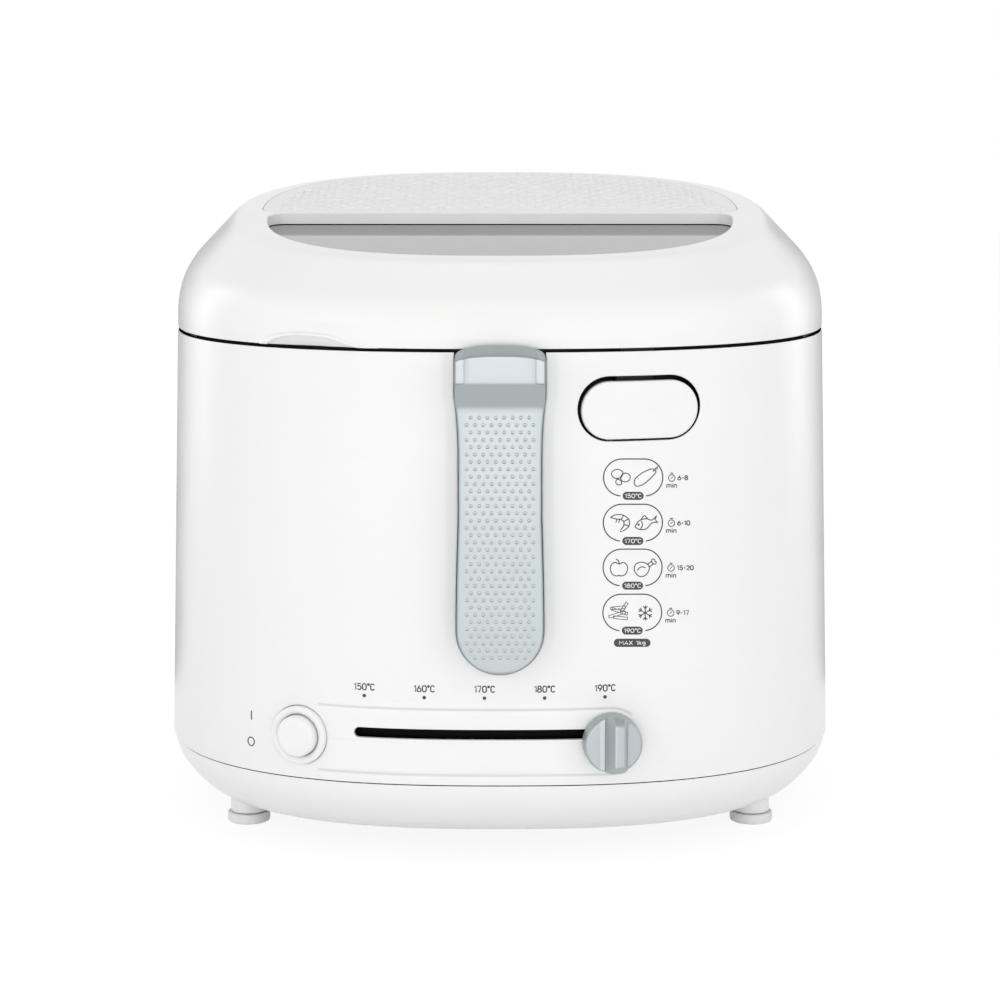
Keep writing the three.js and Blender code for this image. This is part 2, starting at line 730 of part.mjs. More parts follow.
/** Cheeks at both sides of the handle, joined behind it and hung over the rim to the basket. */
function basketBracket() {
  const back = bracketPocketFloor - 2 * fit - 0.2;
  const front = handleFront - past;
  const side = new THREE.Shape();
  const reach = Math.sqrt(cheekRadius ** 2 - (pivotY - handleFront) ** 2);
  const start = Math.PI + Math.asin(reach / cheekRadius);
  side.moveTo(handleFront, pivotZ + 3.4);
  side.lineTo(handleFront, pivotZ - reach);
  side.absarc(pivotY, pivotZ, cheekRadius, start, 1.8 * Math.PI);
  side.lineTo(back, pivotZ - 10.5);
  side.lineTo(back, bracketTop);
  side.lineTo(pivotY + 4, bracketTop);
  side.lineTo(handleFront + 1.6, pivotZ + 4.3);
  const cheeks = overlap(
    frontPlate(handleFrontShape(), front, back + 1, 10),
    sidePlate(side, -cheekOuter, cheekOuter, 10),
  );
  const gap = cheekOuter - cheekThickness;
  const between = box(-gap, gap, front, back - bracketPlate, 0, bracketTop + past);
  const hung = -(halfDepth(basketHalfWidth + basketBead) + fit); // face against the basket's bead
  const strapLow = ledgeTop + 2 * fit + sheet + 0.1;
  const half = hangerHalfWidth;
  const strap = box(-half, half, back - 1, hung, strapLow, bracketTop);
  const hanger = box(-half, half, hung - bracketPlate, hung, basketRim - hangerDrop, bracketTop);
  const bore = rod('x', pinRadius + pinClearance, -past, past, [pivotY, pivotZ], 16);
  return cut(join(cut(cheeks, between), strap, hanger), bore);
}

function handle() {
  const inner = cheekOuter - cheekThickness - fit;
  const cheekSpace = [-1, 1].map((side) => {
    const [x0, x1] = span(side, inner, past);
    return join(
      rod('x', cheekRadius + cheekRoom, x0, x1, [pivotY, pivotZ], 40),
      box(x0, x1, handleFront - past, pivotY + past, pivotZ - 4, pivotZ + past),
    );
  });
  const bore = rod('x', pinRadius + pinClearance, -past, past, [pivotY, pivotZ], 16);
  return cut(handleEnvelope(), ...cheekSpace, bore);
}

/** A ring under the bowl floor; its two cold ends bend down towards the terminal block. */
function heatingElement() {
  const z = bowlFloor - fit - elementTube - 0.1;
  const gap = 0.2; // half the open angle at the back
  const turns = 14;
  const legX = elementRadius * Math.sin(gap);
  const back = elementRadius + elementLegs;
  const ends = [[back + elementEnds, z - elementLegDrop], [back, z - elementLegDrop + 0.5]];
  const points = ends.map(([y, height]) => [legX, y, height]);
  for (let i = 0; i <= turns; i += 1) {
    const angle = Math.PI / 2 - gap - ((2 * Math.PI - 2 * gap) * i) / turns;
    points.push([elementRadius * Math.cos(angle), elementRadius * Math.sin(angle), z]);
  }
  points.push(...ends.toReversed().map(([y, height]) => [-legX, y, height]));
  return tube(points, elementTube, 56);
}

function elementClamp() {
  const top = bowlFloor - 2 * elementTube - 3 * fit;
  const reach = elementRadius + elementTube + 6.6;
  const bar = box(-reach, reach, -7, 7, top - 1.8, top);
  const post = rod('z', studRadius, shieldZ + sheet + fit, top - 0.5, [0, 0], 16);
  return join(bar, post);
}

function heatShield() {
  const edge = shieldHalfWidth;
  const top = shieldZ + shieldRim;
  const dish = ovalShell([
    [0, shieldZ], [edge, shieldZ], [edge + 2, top], [edge + 2 - sheet, top],
    [edge - sheet, shieldZ + sheet], [0, shieldZ + sheet],
  ], innerSides);
  const holes = corners(studX, studY, (at) => rod('z', screwRadius + fit, 0, bowlFloor, at, 12));
  return cut(dish, ...holes);
}

/** Capillary tube from the thermostat, over the shield's rim, to the bowl floor. */
function temperatureSensor() {
  const z = bowlFloor - 2 * fit - sensorRadius;
  const start = shelfZ + 5.3;
  const y = thermostatY + thermostatDepth + fit + 0.1;
  const x = -5;
  const ring = -elementRadius; // it passes under the element here
  return tube([
    [x, y, start], [x, ring - 8, start + 0.1], [x, ring + 2, start + 0.5], [x, ring + 14, z - 4.3],
    [x + 9, ring + 26, z], [x + 39, ring + 28, z],
  ], sensorRadius, 22);
}

function thermostat() {
  const back = thermostatY + thermostatDepth;
  return box(thermostatLeft, thermostatRight, thermostatY, back, shelfZ, shelfZ + thermostatHeight);
}

function terminalBlock() {
  const back = terminalFront + terminalDepth;
  return box(-terminalHalf, terminalHalf, terminalFront, back, shelfZ, shelfZ + terminalHeight);
}

function thermalFuse() {
  const z = bowlFloor - fit - fuseRadius;
  const flange = box(-16, 16, 35, 41, z + fuseRadius - 1.6, z + fuseRadius);
  return join(rod('x', fuseRadius, -12, 12, [38, z], 16), flange);
}

// ---------------------------------------------------------------- lid

/** One item for each lid screw. */
function atLidScrews(make) {
  return corners(lidScrewX, lidScrewY, make);
}

function lidShell() {
  const under = lidHeight - plateauThickness;
  const edge = lidEdge;
  const rim = plateauHalfWidth;
  const shell = ovalShell([
    [edge, 0], [edge, 8], [edge - 0.6, 14], [edge - 1.8, 20], [edge - 4.1, 26], [edge - 7.9, 31.5],
    [rim + 2.9, lidHeight - 2.1], [rim, lidHeight - 0.3], [rim - 5.4, lidHeight], [0, lidHeight],
    [0, under], [rim + 2.3, under], [edge - 9.8, 29.7], [edge - 4.4, 19.8], [edge - wall, 8.4],
    [edge - wall, 0], [edge, 0],
  ]);
  const above = lidHeight + past;
  const window = halfOval(windowHalfWidth, windowDepth, windowBack, -1, windowCorner);
  const rebate = halfOval(filterHalfWidth + fit, filterDepth + fit, 0, 1, windowCorner);
  const well = halfOval(
    filterHalfWidth - filterLand, filterDepth - filterLand, filterLand, 1, windowCorner,
  );
  const bosses = atLidScrews((at) => rod('z', 3.6, under - 2.5, under + 1, at, 14));
  const bores = atLidScrews((at) => rod('z', screwRadius + fit, under - 4, lidHeight - 1.4, at, 12));
  const openShell = cut(
    shell, plate(window, 0, above), plate(rebate, lidHeight - filterCoverThickness - fit, above),
    plate(well, 0, above),
  );
  const rear = halfDepth(edge) - wall + 0.5;
  const knuckles = [-1, 1].flatMap((side) => {
    const [x0, x1] = span(side, knuckleInner, lugInner - knuckleGap);
    return [
      rod('x', hingeRadius, x0, x1, [hingeY, hingeZ]),
      box(x0, x1, rear, hingeY, rimTop + 3.5, hingeZ + hingeRadius - 1),
    ];
  });
  const bore = rod('x', hingePinRadius + pinClearance, -lugOuter, lugOuter, [hingeY, hingeZ]);
  const depth = edge - archDepth;
  const skin = ovalShell([
    [depth, 0], [edge + 10, 0], [edge + 10, rimTop + past], [depth, rimTop + past], [depth, 0],
  ]);
  const arch = overlap(frontPlate(archShape(), handleFront, -past), skin);
  return cut(join(tilted(cut(join(openShell, ...bosses), ...bores)), ...knuckles), bore, arch);
}

/** Outline of the finger hollow, a low arch standing on the lid's edge. */
function archShape() {
  const shape = new THREE.Shape();
  const low = rimTop - 1;
  const crown = rimTop + lidSeamGap + archHeight;
  const shoulder = archHalfWidth * 0.7;
  shape.moveTo(archX - archHalfWidth, low);
  shape.lineTo(archX + archHalfWidth, low);
  shape.quadraticCurveTo(archX + shoulder, crown, archX, crown);
  shape.quadraticCurveTo(archX - shoulder, crown, archX - archHalfWidth, low);
  return shape;
}

/** Inner lid that holds the pane and the filter pad up, and carries the seal. */
function lidLiner() {
  const side = rimHalfWidth - linerInset;
  const within = side - linerThickness;
  const flange = side + linerFlange;
  const top = plateauHalfWidth - 0.9;
  const low = 2 * fit;
  const high = low + 2.2;
  const under = linerTop - linerThickness;
  const shell = ovalShell([
    [within, low], [flange, low], [flange, high], [side, high], [side, 22], [top, linerTop],
    [0, linerTop], [0, under], [top - 1.5, under], [within, 21], [within, low],
  ], innerSides);
  const cover = paneOverlap + 2;
  const window = halfOval(
    windowHalfWidth - cover, windowDepth - cover, windowBack - cover, -1, windowCorner,
  );
  const vents = [];
  for (let x = -80; x <= 80; x += 20) vents.push(box(x - 3, x + 3, 14, 60, 20, lidHeight));
  const bores = atLidScrews((at) => rod('z', screwRadius + fit, 20, lidHeight, at, 12));
  return tilted(cut(shell, plate(window, 0, lidHeight), ...vents, ...bores));
}

function lidWindow() {
  const outline = halfOval(
    windowHalfWidth + paneOverlap, windowDepth + paneOverlap, windowBack + paneOverlap, -1, windowCorner,
  );
  const top = lidHeight - plateauThickness - fit;
  return tilted(plate(outline, top - paneThickness, top));
}

/** Rear half of the plateau, with arcs of short slots that let the steam out. */
function filterCover() {
  const outline = halfOval(filterHalfWidth, filterDepth, fit, 1, windowCorner);
  const cover = plate(outline, lidHeight - filterCoverThickness, lidHeight);
  const slots = [];
  for (let row = 1; row <= filterRows; row += 1) {
    const share = ((row - 0.3) / filterRows) * 0.93;
    const [a, b] = [filterHalfWidth * share, filterDepth * share];
    const count = Math.max(3, Math.round((Math.PI * (a + b)) / 2 / filterSlotPitch));
    for (let i = 0; i < count; i += 1) {
      const angle = (Math.PI * (i + 0.5)) / count;
      const reach = ovalReach(angle, a, b, 2.2);
      const along = Math.atan2(b * Math.cos(angle), -a * Math.sin(angle));
      const [half, side] = [filterSlotLength / 2, filterSlotWidth / 2];
      const slot = box(-half, half, -side, side, 0, lidHeight + past).rotateZ(along);
      const y = Math.max(reach * Math.sin(angle), filterLand + 1);
      slots.push(slot.translate(reach * Math.cos(angle), y, 0));
    }
  }
  return tilted(cut(cover, ...slots));
}

function filterPad() {
  const inset = filterLand + fit + 0.2;
  const outline = halfOval(filterHalfWidth - inset, filterDepth - inset, inset, 1, windowCorner);
  return tilted(plate(outline, linerTop + fit, lidHeight - filterCoverThickness - fit));
}

/** Ring between the bowl's flange and the liner, notched for the basket's strap. */
function lidSeal() {
  const low = ledgeTop + 2 * fit + sheet - rimTop - lidSeamGap;
  const top = fit;
  const outer = sealInner + sealWidth;
  const ring = ovalShell([
    [sealInner, low], [outer, low], [outer, top], [sealInner, top], [sealInner, low],
  ], innerSides);
  const half = hangerHalfWidth + 1.5;
  const notchTop = bracketTop + fit - rimTop - lidSeamGap;
  return tilted(cut(ring, box(-half, half, handleFront, 0, low - 1, notchTop)));
}

// ---------------------------------------------------------------- lid release

/** Plate on the lid that hangs into the housing, with a window for the latch's nose. */
function lidCatch() {
  const low = rimTop - catchHang - 5 - lidButtonZ;
  const top = rimTop + 6.5 - lidButtonZ;
  const weld = rimTop + lidSeamGap + 1.5 - lidButtonZ; // held by the lid's wall above here
  const half = catchHalfWidth;
  const hook = join(
    box(-half, half, catchDepth, catchDepth + catchThickness, low, top),
    box(-half, half, catchDepth - 0.5, catchDepth + 0.5, weld, top),
  );
  const window = box(1 - half + 1.5, half - 2.5, 0, 10, low + 1.1, low + 1.1 + catchWindow);
  return set(cut(hook, window), lidButtonPlace);
}

/** The oval key: it follows the wall's surface, and has a block behind it for the latch. */
function lidButton() {
  const cap = frontPlate(stadium(lidButtonLength, lidButtonHeight), -past, past, 10);
  const low = lidButtonZ - lidButtonHeight;
  const high = lidButtonZ + lidButtonHeight;
  const thickness = wall + 0.8;
  const face = ovalShell([
    [halfWidthAt(low) - thickness, low], [halfWidthAt(low), low], [halfWidthAt(high), high],
    [halfWidthAt(high) - thickness, high], [halfWidthAt(low) - thickness, low],
  ], 64);
  const half = latchHalfWidth;
  const block = box(-half, half, 2, latchFront() - fit, latchLow, 8);
  return join(overlap(set(cap, lidButtonPlace), face), set(block, lidButtonPlace));
}

/** Depth of the latch plate's front face. */
function latchFront() {
  return catchDepth + catchThickness + noseClear + 1.1;
}

function latchHook() {
  const front = latchFront();
  const top = rimTop - ledgeThickness - 4 - lidButtonZ - 1.1;
  const half = latchHalfWidth;
  const arm = box(-half, half, front, front + latchPlate, latchLow, top);
  const tip = catchDepth + catchThickness + noseClear;
  const nose = box(-half / 2 + 0.5, half / 2 - 0.5, tip, front + 0.5, top - noseThickness, top);
  return set(join(arm, nose), lidButtonPlace);
}

/** A coil spring along y, round a centre at the given height. */
function coil(radius, turns, y0, y1, z) {
  const points = [];
  const perTurn = 8;
  const rise = y1 - y0 - 2 * springWire;
  for (let i = 0; i <= turns * perTurn; i += 1) {
    const angle = (2 * Math.PI * i) / perTurn;
    const y = y0 + springWire + (rise * i) / (turns * perTurn);
    points.push([radius * Math.cos(angle), y, z + radius * Math.sin(angle)]);
  }
  return tube(points, springWire, turns * perTurn, 6);
}

function latchSpring() {
  const start = latchFront() + latchPlate + fit;
  return set(coil(latchSpringRadius, 1.75, start, start + springLength, latchSpringZ), lidButtonPlace);
}

/** Angle on the wall under the key: a flange that follows the wall, a shelf and the spring's seat. */
function latchBracket() {
  const seat = latchFront() + latchPlate + 2 * fit + springLength + lidButtonTravel;
  const shelfTop = -lidButtonHeight / 2 - lidButtonGap - 3;
  const low = shelfTop - 12;
  const half = latchHalfWidth + 2;
  const upright = box(-half, half, seat, seat + sheet, shelfTop - sheet, -4);
  const shelf = box(-half, half, 0, seat + sheet, shelfTop - sheet, shelfTop);
  const face = (z) => halfWidthAt(z) - wall - fit;
  const [z0, z1] = [low + lidButtonZ, shelfTop + lidButtonZ];
  const room = ovalShell([[0, z0], [face(z0), z0], [face(z1), z1], [0, z1], [0, z0]]);
  const skin = ovalShell([
    [face(z0), z0], [face(z1), z1], [face(z1) - sheet, z1], [face(z0) - sheet, z0], [face(z0), z0],
  ]);
  const flange = overlap(set(box(-half, half, -5, 10, low, shelfTop), lidButtonPlace), skin);
  return join(flange, overlap(set(shelf, lidButtonPlace), room), set(upright, lidButtonPlace));
}

// ---------------------------------------------------------------- power switch

/** Carries a piece turned about its upright axis, with z as depth, to the power button's place. */
function setTurned(piece) {
  return set(piece.rotateX(-Math.PI / 2), powerPlace);
}

function powerCollar() {
  const bore = powerRadius + fit;
  const round = 0.8;
  return setTurned(turned([
    [bore, -collarStandout], [collarRadius - round, -collarStandout],
    [collarRadius, round - collarStandout], [collarRadius, collarSeat], [bore, collarSeat],
    [bore, -collarStandout],
  ], 28));
}

function powerButton() {
  const r = powerRadius;
  const flange = r + powerFlange;
  const front = -powerStandout;
  return setTurned(turned([
    [0, front], [r - 2.6, front + 0.2], [r - 0.9, front + 0.7], [r, front + 2], [r, 3.8],
    [flange, 3.8], [flange, 5.2], [powerStem, 5.2], [powerStem, powerBack], [0, powerBack],
  ], 28));
}

function powerSpring() {
  const start = powerBack + fit;
  return set(coil(powerSpringRadius, 1.75, start, start + springLength, 0), powerPlace);
}

function powerSwitch() {
  const start = powerBack + powerTravel + fit;
  return set(box(-10, 10, start, start + 10, -switchHalf, switchHalf), powerPlace);
}

// ---------------------------------------------------------------- temperature slide

/** A thin disc with an upright grip bar across it, and a socket for the carriage's stem. */
function temperatureKnob() {
  const z = knobZ - slideZ;
  const behind = -1.2; // the knob's back, in front of the wall
  const edge = 1.2;
  const disc = turned([
    [0, 0], [knobRadius, 0], [knobRadius, knobDisc], [knobRadius - edge, knobDisc + edge],
    [0, knobDisc + edge],
  ], 32).rotateX(Math.PI / 2).translate(0, behind, z);
  const round = rod('y', knobRadius, -knobStandout, behind - 1, [0, z], 32);
  const across = frontPlate(stadium(2 * knobRadius, knobBar), -knobStandout, behind - 1);
  const bar = overlap(round, across.rotateY(Math.PI / 2).translate(0, 0, z));
  const half = stemWidth / 2 + fit;
  const high = stemHeight / 2 + fit;
  return set(cut(join(disc, bar), box(-half, half, -4.5, 0, -high, high)), slidePlace(slideRestX));
}

function slideCarriage() {
  const half = stemWidth / 2;
  const high = stemHeight / 2;
  const stem = box(-half, half, fit - 4.5, padDepth + 1, -high, high);
  const padHigh = railHalfHeight - 1.4;
  const pad = box(-padHalf, padHalf, padDepth, padDepth + padThickness, -padHigh, padHigh);
  return set(join(stem, pad), slidePlace(slideRestX));
}

/** Dark strip behind the slot that carries the carriage along its arc. */
function slideRail() {
  const depth = padDepth + padThickness + fit + 0.1;
  const arc = (radius) => {
    const points = [];
    for (let x = slideEndX - 11; x <= slideRestX + 12; x += 9) {
      const turn = Math.asin(x / slideRadius);
      points.push(new THREE.Vector2(radius * Math.sin(turn), slideCentreY - radius * Math.cos(turn)));
    }
    return points;
  };
  const outer = slideRadius - depth;
  const strip = new THREE.Shape([...arc(outer), ...arc(outer - railThickness).toReversed()]);
  const stop = padHalf + 2.2;
  const high = railHalfHeight;
  const ends = [slideEndX - stop, slideRestX + stop].map((x) => (
    set(box(-1.2, 1.2, padDepth, depth + 1, -high, high), slidePlace(x))
  ));
  return join(plate(strip, slideZ - high, slideZ + high), ...ends);
}

// ---------------------------------------------------------------- cord gland

function cordGland() {
  const lean = [-glandFlange, glandFlange].map((rise) => halfDepth(halfWidthAt(glandZ + rise)));
  const end = hingeY + hingeRadius;
  const inner = Math.min(...lean) - wall - fit;
  const seat = Math.max(...lean) + fit;
  const sleeve = turned([
    [glandBore, inner - 2], [glandFlange, inner - 2], [glandFlange, inner], [glandNeck, inner],
    [glandNeck, seat], [glandFlange, seat], [glandFlange, seat + 2], [glandNeck, seat + 2.6],
    [glandNeck - 1, end], [glandBore, end], [glandBore, inner - 2],
  ], 24);
  return sleeve.rotateX(-Math.PI / 2).translate(0, 0, glandZ);
}

// ---------------------------------------------------------------- assembly

add('housing', housing(), white);
add('base', base(), white);
for (const [side, sx] of [['left', -1], ['right', 1]]) {
  for (const [end, sy] of [['front', -1], ['rear', 1]]) {
    add(`foot_${end}_${side}`, foot(), rubber).position.set(sx * footX, sy * footY, 0);
    const baseScrew = add(`base_screw_${end}_${side}`, screw(38), steel);
    baseScrew.position.set(sx * studX, sy * studY, underside + 3.2);
  }
}
add('cord_gland', cordGland(), darkPlastic);
add('hinge_pin', rod('x', hingePinRadius, -lugOuter - 1, lugOuter + 1, [hingeY, hingeZ]), steel);

add('bowl', bowl(), coatedMetal);
add('heating_element', heatingElement(), steel);
add('element_clamp', elementClamp(), steel);
add('heat_shield', heatShield(), steel);
add('temperature_sensor', temperatureSensor(), steel);
add('thermal_fuse', thermalFuse(), steel);
add('thermostat', thermostat(), brown);
add('terminal_block', terminalBlock(), darkPlastic);

add('power_switch', powerSwitch(), darkPlastic);
add('power_button_collar', powerCollar(), white);
add('power_button', powerButton(), white);
add('power_spring', powerSpring(), steel);

add('slide_rail', slideRail(), darkPlastic);
add('slide_carriage', slideCarriage(), darkPlastic);
add('temperature_knob', temperatureKnob(), grey);

add('lid_button', lidButton(), white);
add('latch_hook', latchHook(), darkPlastic);
add('latch_spring', latchSpring(), steel);
add('latch_bracket', latchBracket(), steel);

add('lid_shell', lidShell(), white);
add('lid_window', lidWindow(), smoked);
add('filter_cover', filterCover(), white);
add('filter_pad', filterPad(), foam);
add('lid_liner', lidLiner(), white);
add('lid_seal', lidSeal(), rubber);
add('lid_catch', lidCatch(), steel);
atLidScrews(([x, y]) => [x, y]).forEach(([x, y], i) => {
  const lift = 1 + (lidSlope / lidHeight) * y;
  const seat = (linerTop - linerThickness - fit) * lift;
  const lidScrew = add(`lid_screw_${i + 1}`, screw(9), steel);
  lidScrew.position.set(x, y, rimTop + lidSeamGap + seat - screwHead - 2 * fit);
});

add('basket', basket(), steel);
add('basket_bracket', basketBracket(), grey);
add('handle', handle(), grey);
add('handle_pin', rod('x', pinRadius, 1 - cheekOuter, cheekOuter - 1, [pivotY, pivotZ], 16), steel);

export default fryer;
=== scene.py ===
import math

import bmesh
import bpy
from mathutils import Matrix, Vector


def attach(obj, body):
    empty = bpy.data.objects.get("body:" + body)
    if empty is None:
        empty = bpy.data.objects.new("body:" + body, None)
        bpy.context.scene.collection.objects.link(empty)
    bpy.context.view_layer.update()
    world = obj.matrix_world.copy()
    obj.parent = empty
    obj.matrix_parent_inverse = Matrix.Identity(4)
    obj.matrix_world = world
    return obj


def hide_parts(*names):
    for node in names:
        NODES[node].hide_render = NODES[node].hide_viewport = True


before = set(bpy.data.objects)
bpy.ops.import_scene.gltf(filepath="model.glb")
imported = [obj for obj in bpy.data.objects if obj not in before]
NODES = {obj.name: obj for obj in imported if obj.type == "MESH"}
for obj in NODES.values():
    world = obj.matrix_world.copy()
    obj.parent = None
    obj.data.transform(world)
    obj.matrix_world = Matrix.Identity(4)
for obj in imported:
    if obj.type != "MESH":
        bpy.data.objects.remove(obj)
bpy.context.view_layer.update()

# ------------------------------------------------------------------ measures, in millimetres

MM = 0.001
SIDES, INNER_SIDES = 288, 192  # points round the large shells, outside and inside
BODY_POWER = 2.5  # how square the body's outline is
PLATEAU_POWER = 2.65  # and the lid's plateau
SEAM, RIM = 36.0, 219.0  # heights of the two seams
SEAM_HALF, RIM_HALF = 150.3, 145.1  # the wall's half widths there
NARROWER = 22.9  # by how much a shell's half depth is less than its half width
LID_EDGE = 220.0
LID_TOP = 49.6  # the plateau, above the lid's edge
LID_CLIMB = 0.15  # its climb to the back, per millimetre
PIVOT = (-130.0, 213.8)  # the handle's pin, y and z
CHEEK = 18.6  # half width of the handle's head
RECESS = -117.8  # floor behind the grip
KEY = (58.0, 195.2)  # middles of the release key and of the power button, x and z
POWER = (-85.0, 55.0)
PANEL_Z, SLIDE_Z = 54.8, 58.2
KNOB = (46.5, 55.2)
SLIDE_RADIUS, SLIDE_CENTRE = 350.435, 223.666  # the knob's arc about an upright axis, and the axis's y
SLOT_LENGTH, SLOT_HEIGHT, SLOT_X = 112.1, 4.0, -5.25
HINGE, HINGE_RADIUS = (131.0, 226.0), 6.0
FEET = (113.0, 52.0)
BASE_SCREWS = (45.0, 30.0)
GLAND_Z = 54.0
CORNERS = [(sx, sy) for sx in (-1, 1) for sy in (-1, 1)]
EYE_BACK, EYE_HEIGHT, EYE_DIP = 1230.0, 341.0, math.radians(9.41)  # where the camera stands


def depth_of(half_width):
    return half_width - NARROWER * min(1.0, half_width / 60.0)


def half_width_at(z):
    return SEAM_HALF + (z - SEAM) / (RIM - SEAM) * (RIM_HALF - SEAM_HALF)


def arch(share, power=BODY_POWER):
    """Reach of a rounded oval, 0 to 1, at a share of its other axis."""
    return max(0.0, 1 - abs(share) ** power) ** (1 / power)


def wall_y(x, z):
    half = half_width_at(z)
    return -depth_of(half) * arch(x / half)


def wall_turn(x, z):
    """How far the front wall faces away from straight ahead."""
    half = half_width_at(z)
    deep = depth_of(half)
    nx = math.copysign(abs(x / half) ** (BODY_POWER - 1), x) / half
    ny = (abs(wall_y(x, z)) / deep) ** (BODY_POWER - 1) / deep
    return math.atan2(nx, ny)


def on_wall(x, z, sunk=0.0):
    """A point of the front wall, moved inwards along the wall's normal."""
    turn = wall_turn(x, z)
    return (x - sunk * math.sin(turn), wall_y(x, z) + sunk * math.cos(turn), z)


def wall_ring(outline, sunk=0.0):
    return [on_wall(x, z, sunk) for x, z in outline]


def tilt(x, y, z):
    """Carries a height above the lid's edge to its place: the plateau climbs to the back."""
    return (x, y, LID_EDGE + (z * (1 + LID_CLIMB / LID_TOP * y) if z > 0 else z))


# ------------------------------------------------------------------ outlines

def raised(outline, z):
    return [(x, y, z) for x, y in outline]


def standing(outline, y):
    return [(x, y, z) for x, z in outline]


def oval(half, z, sides=SIDES):
    """Level ring of the body's rounded oval."""
    ring = []
    for i in range(sides):
        c, s = math.cos(math.tau * i / sides), math.sin(math.tau * i / sides)
        ring.append((
            math.copysign(abs(c) ** (2 / BODY_POWER), c) * half,
            math.copysign(abs(s) ** (2 / BODY_POWER), s) * depth_of(half), z,
        ))
    return ring


def ovals(profile, sides=SIDES):
    return [oval(half, z, sides) for half, z in profile]


def arc(cx, cz, rx, rz, start, end, count=10):
    """Points from one angle to another, in degrees, both ends included."""
    angles = [math.radians(start + (end - start) * i / count) for i in range(count + 1)]
    return [(cx + rx * math.cos(a), cz + rz * math.sin(a)) for a in angles]


def circle(radius, sides=48, centre=(0.0, 0.0)):
    return arc(*centre, radius, radius, 0, 360, sides)[:-1]


def stadium(length, height, centre=(0.0, 0.0), facets=24):
    """Round-ended slot outline, with points along its long sides too."""
    radius, straight = height / 2, (length - height) / 2
    points = []
    for side in (1, -1):
        points += [(side * x, side * z) for x, z in arc(straight, 0, radius, radius, -90, 90, facets)]
        points += [(side * straight * (1 - 2 * i / facets), side * radius) for i in range(1, facets)]
    return [(centre[0] + x, centre[1] + z) for x, z in points]


def squeezed(outline, level, share=0.02):
    """An outline pressed towards a level line."""
    return [(x, level + (z - level) * share) for x, z in outline]


def curve(start, control, end, count):
    """Points on the way from start to end; the start itself is left out."""
    return [
        tuple((1 - t) ** 2 * a + 2 * t * (1 - t) * b + t * t * c for a, b, c in zip(start, control, end))
        for t in (i / count for i in range(1, count + 1))
    ]


def flowing(points, between=5, closed=False):
    """A smooth line through the points of a profile or a drawing."""
    total = len(points)
    line = []
    for i in range(total if closed else total - 1):
        near = [i + k if closed else max(0, min(total - 1, i + k)) for k in (-1, 0, 1, 2)]
        a, b, c, d = (points[k % total] for k in near)
        for t in (j / between for j in range(between)):
            line.append(tuple(
                0.5 * (2 * q + (r - p) * t + (2 * p - 5 * q + 4 * r - s) * t * t + (3 * q - p - 3 * r + s) * t ** 3)
                for p, q, r, s in zip(a, b, c, d)
            ))
    return line if closed else line + [points[-1]]


def handle_outline(grow):
    """Front view of the folded handle: round lower end, narrow waist, wide head."""
    top, end, waist = CHEEK + grow, 18.0 + grow, 17.0 + grow
    low, side, crown = 102.2, 217.0, 222.0 + grow
    right = arc(0, low, end, end, -90, 0, 20)[1:]
    right += curve((end, low), (end, 120.1), (waist, 150.0), 16)
    right += curve((waist, 150.0), (waist, 164.0), (waist, 178.0), 10)
    right += curve((waist, 178.0), (waist + 0.2, 192.0), (top, 200.0), 12)
    right += curve((top, 200.0), (top, 208.0), (top, side), 8)
    right += curve((top, side), (top - 1, crown), (0.0, crown), 14)[:-1]
    left = [(-x, z) for x, z in reversed(right)]
    return [(0.0, low - end)] + right + [(0.0, crown)] + left


def half_oval(half, depth, straight, side, corner):
    """Half of the plateau's oval: a straight edge with round corners, closed by the arc."""
    facets = 60
    start = straight + side * corner
    low = math.asin(min(1.0, abs(start) / depth))
    edge = half * arch(start / depth, PLATEAU_POWER)
    points = [((edge - corner) * i / 9, straight) for i in range(-9, 10)]
    points += curve((edge - corner, straight), (edge, straight), (edge, start), 8)
    for i in range(1, facets):
        angle = low + (math.pi - 2 * low) * i / facets
        c, s = math.cos(angle), math.sin(angle)
        far = (abs(c / half) ** PLATEAU_POWER + abs(s / depth) ** PLATEAU_POWER) ** (-1 / PLATEAU_POWER)
        points.append((far * c, side * far * s))
    points.append((-edge, start))
    return points + curve((-edge, start), (-edge, straight), (corner - edge, straight), 8)[:-1]


# ------------------------------------------------------------------ making and joining pieces

def nothing_selected():
    if bpy.context.mode != "OBJECT":
        bpy.ops.object.mode_set(mode="OBJECT")
    bpy.ops.object.select_all(action="DESELECT")


def only(piece):
    """Makes one piece the selected and active one."""
    nothing_selected()
    piece.select_set(True)
    bpy.context.view_layer.objects.active = piece


def linked(name, data):
    thing = bpy.data.objects.new(name, data)
    bpy.context.scene.collection.objects.link(thing)
    return thing


def place_ring(piece, ring):
    mesh = bmesh.from_edit_mesh(piece.data)
    step = mesh.verts.layers.int["step"]
    for vertex in mesh.verts:
        if vertex.select:
            vertex.co = [value * MM for value in ring[vertex[step]]]
    bmesh.update_edit_mesh(piece.data)


